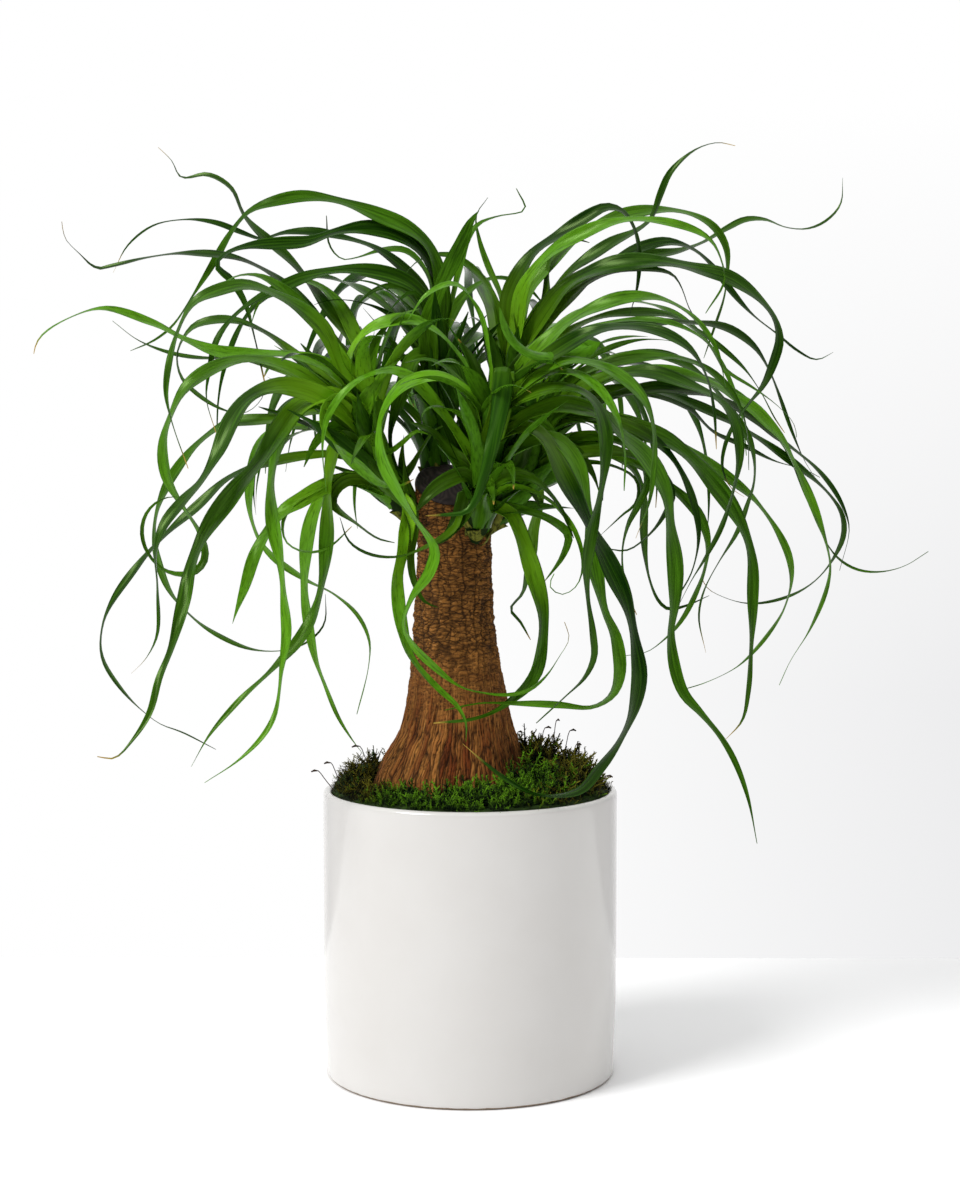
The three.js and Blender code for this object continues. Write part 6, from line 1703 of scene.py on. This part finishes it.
class PALM_OT_stage(Builder, bpy.types.Operator):
    """Sets the floor, the soft light and the camera"""

    bl_idname = "palm.stage"
    bl_label = "Set stage"

    def execute(self, context):
        look = context.scene.palm_stage
        side, back = FLOOR_REACH, look.back
        corners = [(-side, -side, 0), (side, -side, 0), (side, back, 0), (-side, back, 0)]
        mesh = bpy.data.meshes.new("floor")
        mesh.from_pydata(corners, [], [(0, 1, 2, 3)])
        material, _, surface, _ = new_finish("matt white floor", Roughness=0.9, Specular_IOR_Level=0.1)
        surface.inputs["Base Color"].default_value = (*look.floor, 1)
        mesh.materials.append(material)
        floor = bpy.data.objects.new("floor", mesh)
        context.scene.collection.objects.link(floor)
        self.add_lamp(context, look)
        self.add_sky(context)
        camera = bpy.data.objects.new("camera", bpy.data.cameras.new("camera"))
        context.scene.collection.objects.link(camera)
        camera.data.lens = CAMERA_LENS
        camera.location = Vector(EYE) * MM
        camera.rotation_euler = (math.radians(CAMERA_PITCH), 0, 0)
        context.scene.camera = camera
        context.scene.view_settings.view_transform = "Standard"
        return {"FINISHED"}

    def add_lamp(self, context, look):
        """A large distant lamp at the front left, which lights the floor evenly."""
        lamp = bpy.data.lights.new("key lamp", "SUN")
        lamp.energy = look.key
        lamp.angle = look.size
        piece = bpy.data.objects.new("key lamp", lamp)
        context.scene.collection.objects.link(piece)
        piece.location = Vector(KEY_FROM)
        piece.rotation_euler = piece.location.to_track_quat("Z", "Y").to_euler()

    def add_sky(self, context):
        """A grey room with a bright ceiling and a white screen behind the plant, grey low at the right."""
        world = bpy.data.worlds.new("white screen")
        context.scene.world = world
        world.use_nodes = True
        tree = world.node_tree
        way = add_node(tree, "ShaderNodeTexCoord").outputs["Generated"]
        parts = add_node(tree, TO_PARTS, {0: way}).outputs
        share = {}
        for name, (axis, start, end) in SKY_EDGES.items():
            ends = {"Value": parts[axis], "From Min": start, "From Max": end}
            share[name] = add_node(tree, MAP, ends).outputs[0]
        corner = {0: share["right"], 1: share["low"]}
        corner = add_node(tree, MATH, corner, operation="MULTIPLY").outputs[0]
        screen = {0: corner, 6: (1, 1, 1, 1), 7: colour("#ededee")}
        screen = add_node(tree, MIX, screen, data_type="RGBA").outputs[2]
        tone = colour("#78787a")
        coats = [
            (share["far"], colour("#c4c4c6")),
            (share["ceiling"], (CEILING_LIGHT, CEILING_LIGHT, CEILING_LIGHT, 1)),
            (share["screen"], screen),
        ]
        for covered, light in coats:
            tone = add_node(tree, MIX, {0: covered, 6: tone, 7: light}, data_type="RGBA").outputs[2]
        tree.links.new(tone, tree.nodes["Background"].inputs["Color"])


class PALM_PT_panel(bpy.types.Panel):
    """Lists every setting and button"""

    bl_idname = "PALM_PT_panel"
    bl_label = "Potted ponytail palm"
    bl_space_type = "VIEW_3D"
    bl_region_type = "UI"
    bl_category = "Palm"

    def draw(self, context):
        for name, group in GROUPS.items():
            box = self.layout.box()
            settings = getattr(context.scene, name)
            for key in group.__annotations__:
                box.prop(settings, key)
        for operator in OPERATORS:
            self.layout.operator(operator.bl_idname)


GROUPS = {
    "palm_pot": PotSettings,
    "palm_trunk": TrunkSettings,
    "palm_moss": MossSettings,
    "palm_leaves": LeafSettings,
    "palm_stage": StageSettings,
}
OPERATORS = [
    PALM_OT_pot,
    PALM_OT_soil,
    PALM_OT_trunk,
    PALM_OT_cut,
    PALM_OT_moss,
    PALM_OT_stalks,
    PALM_OT_leaves,
    PALM_OT_stems,
    PALM_OT_stage,
]
CLASSES = [*GROUPS.values(), *OPERATORS, PALM_PT_panel]


def register():
    for kind in CLASSES:
        bpy.utils.register_class(kind)
    for name, group in GROUPS.items():
        setattr(bpy.types.Scene, name, bpy.props.PointerProperty(type=group))


def unregister():
    for name in GROUPS:
        delattr(bpy.types.Scene, name)
    for kind in reversed(CLASSES):
        bpy.utils.unregister_class(kind)


def main():
    register()
    for operator in OPERATORS:
        section, action = operator.bl_idname.split(".")
        getattr(getattr(bpy.ops, section), action)()
    bpy.context.view_layer.update()


if __name__ == "__main__":
    main()
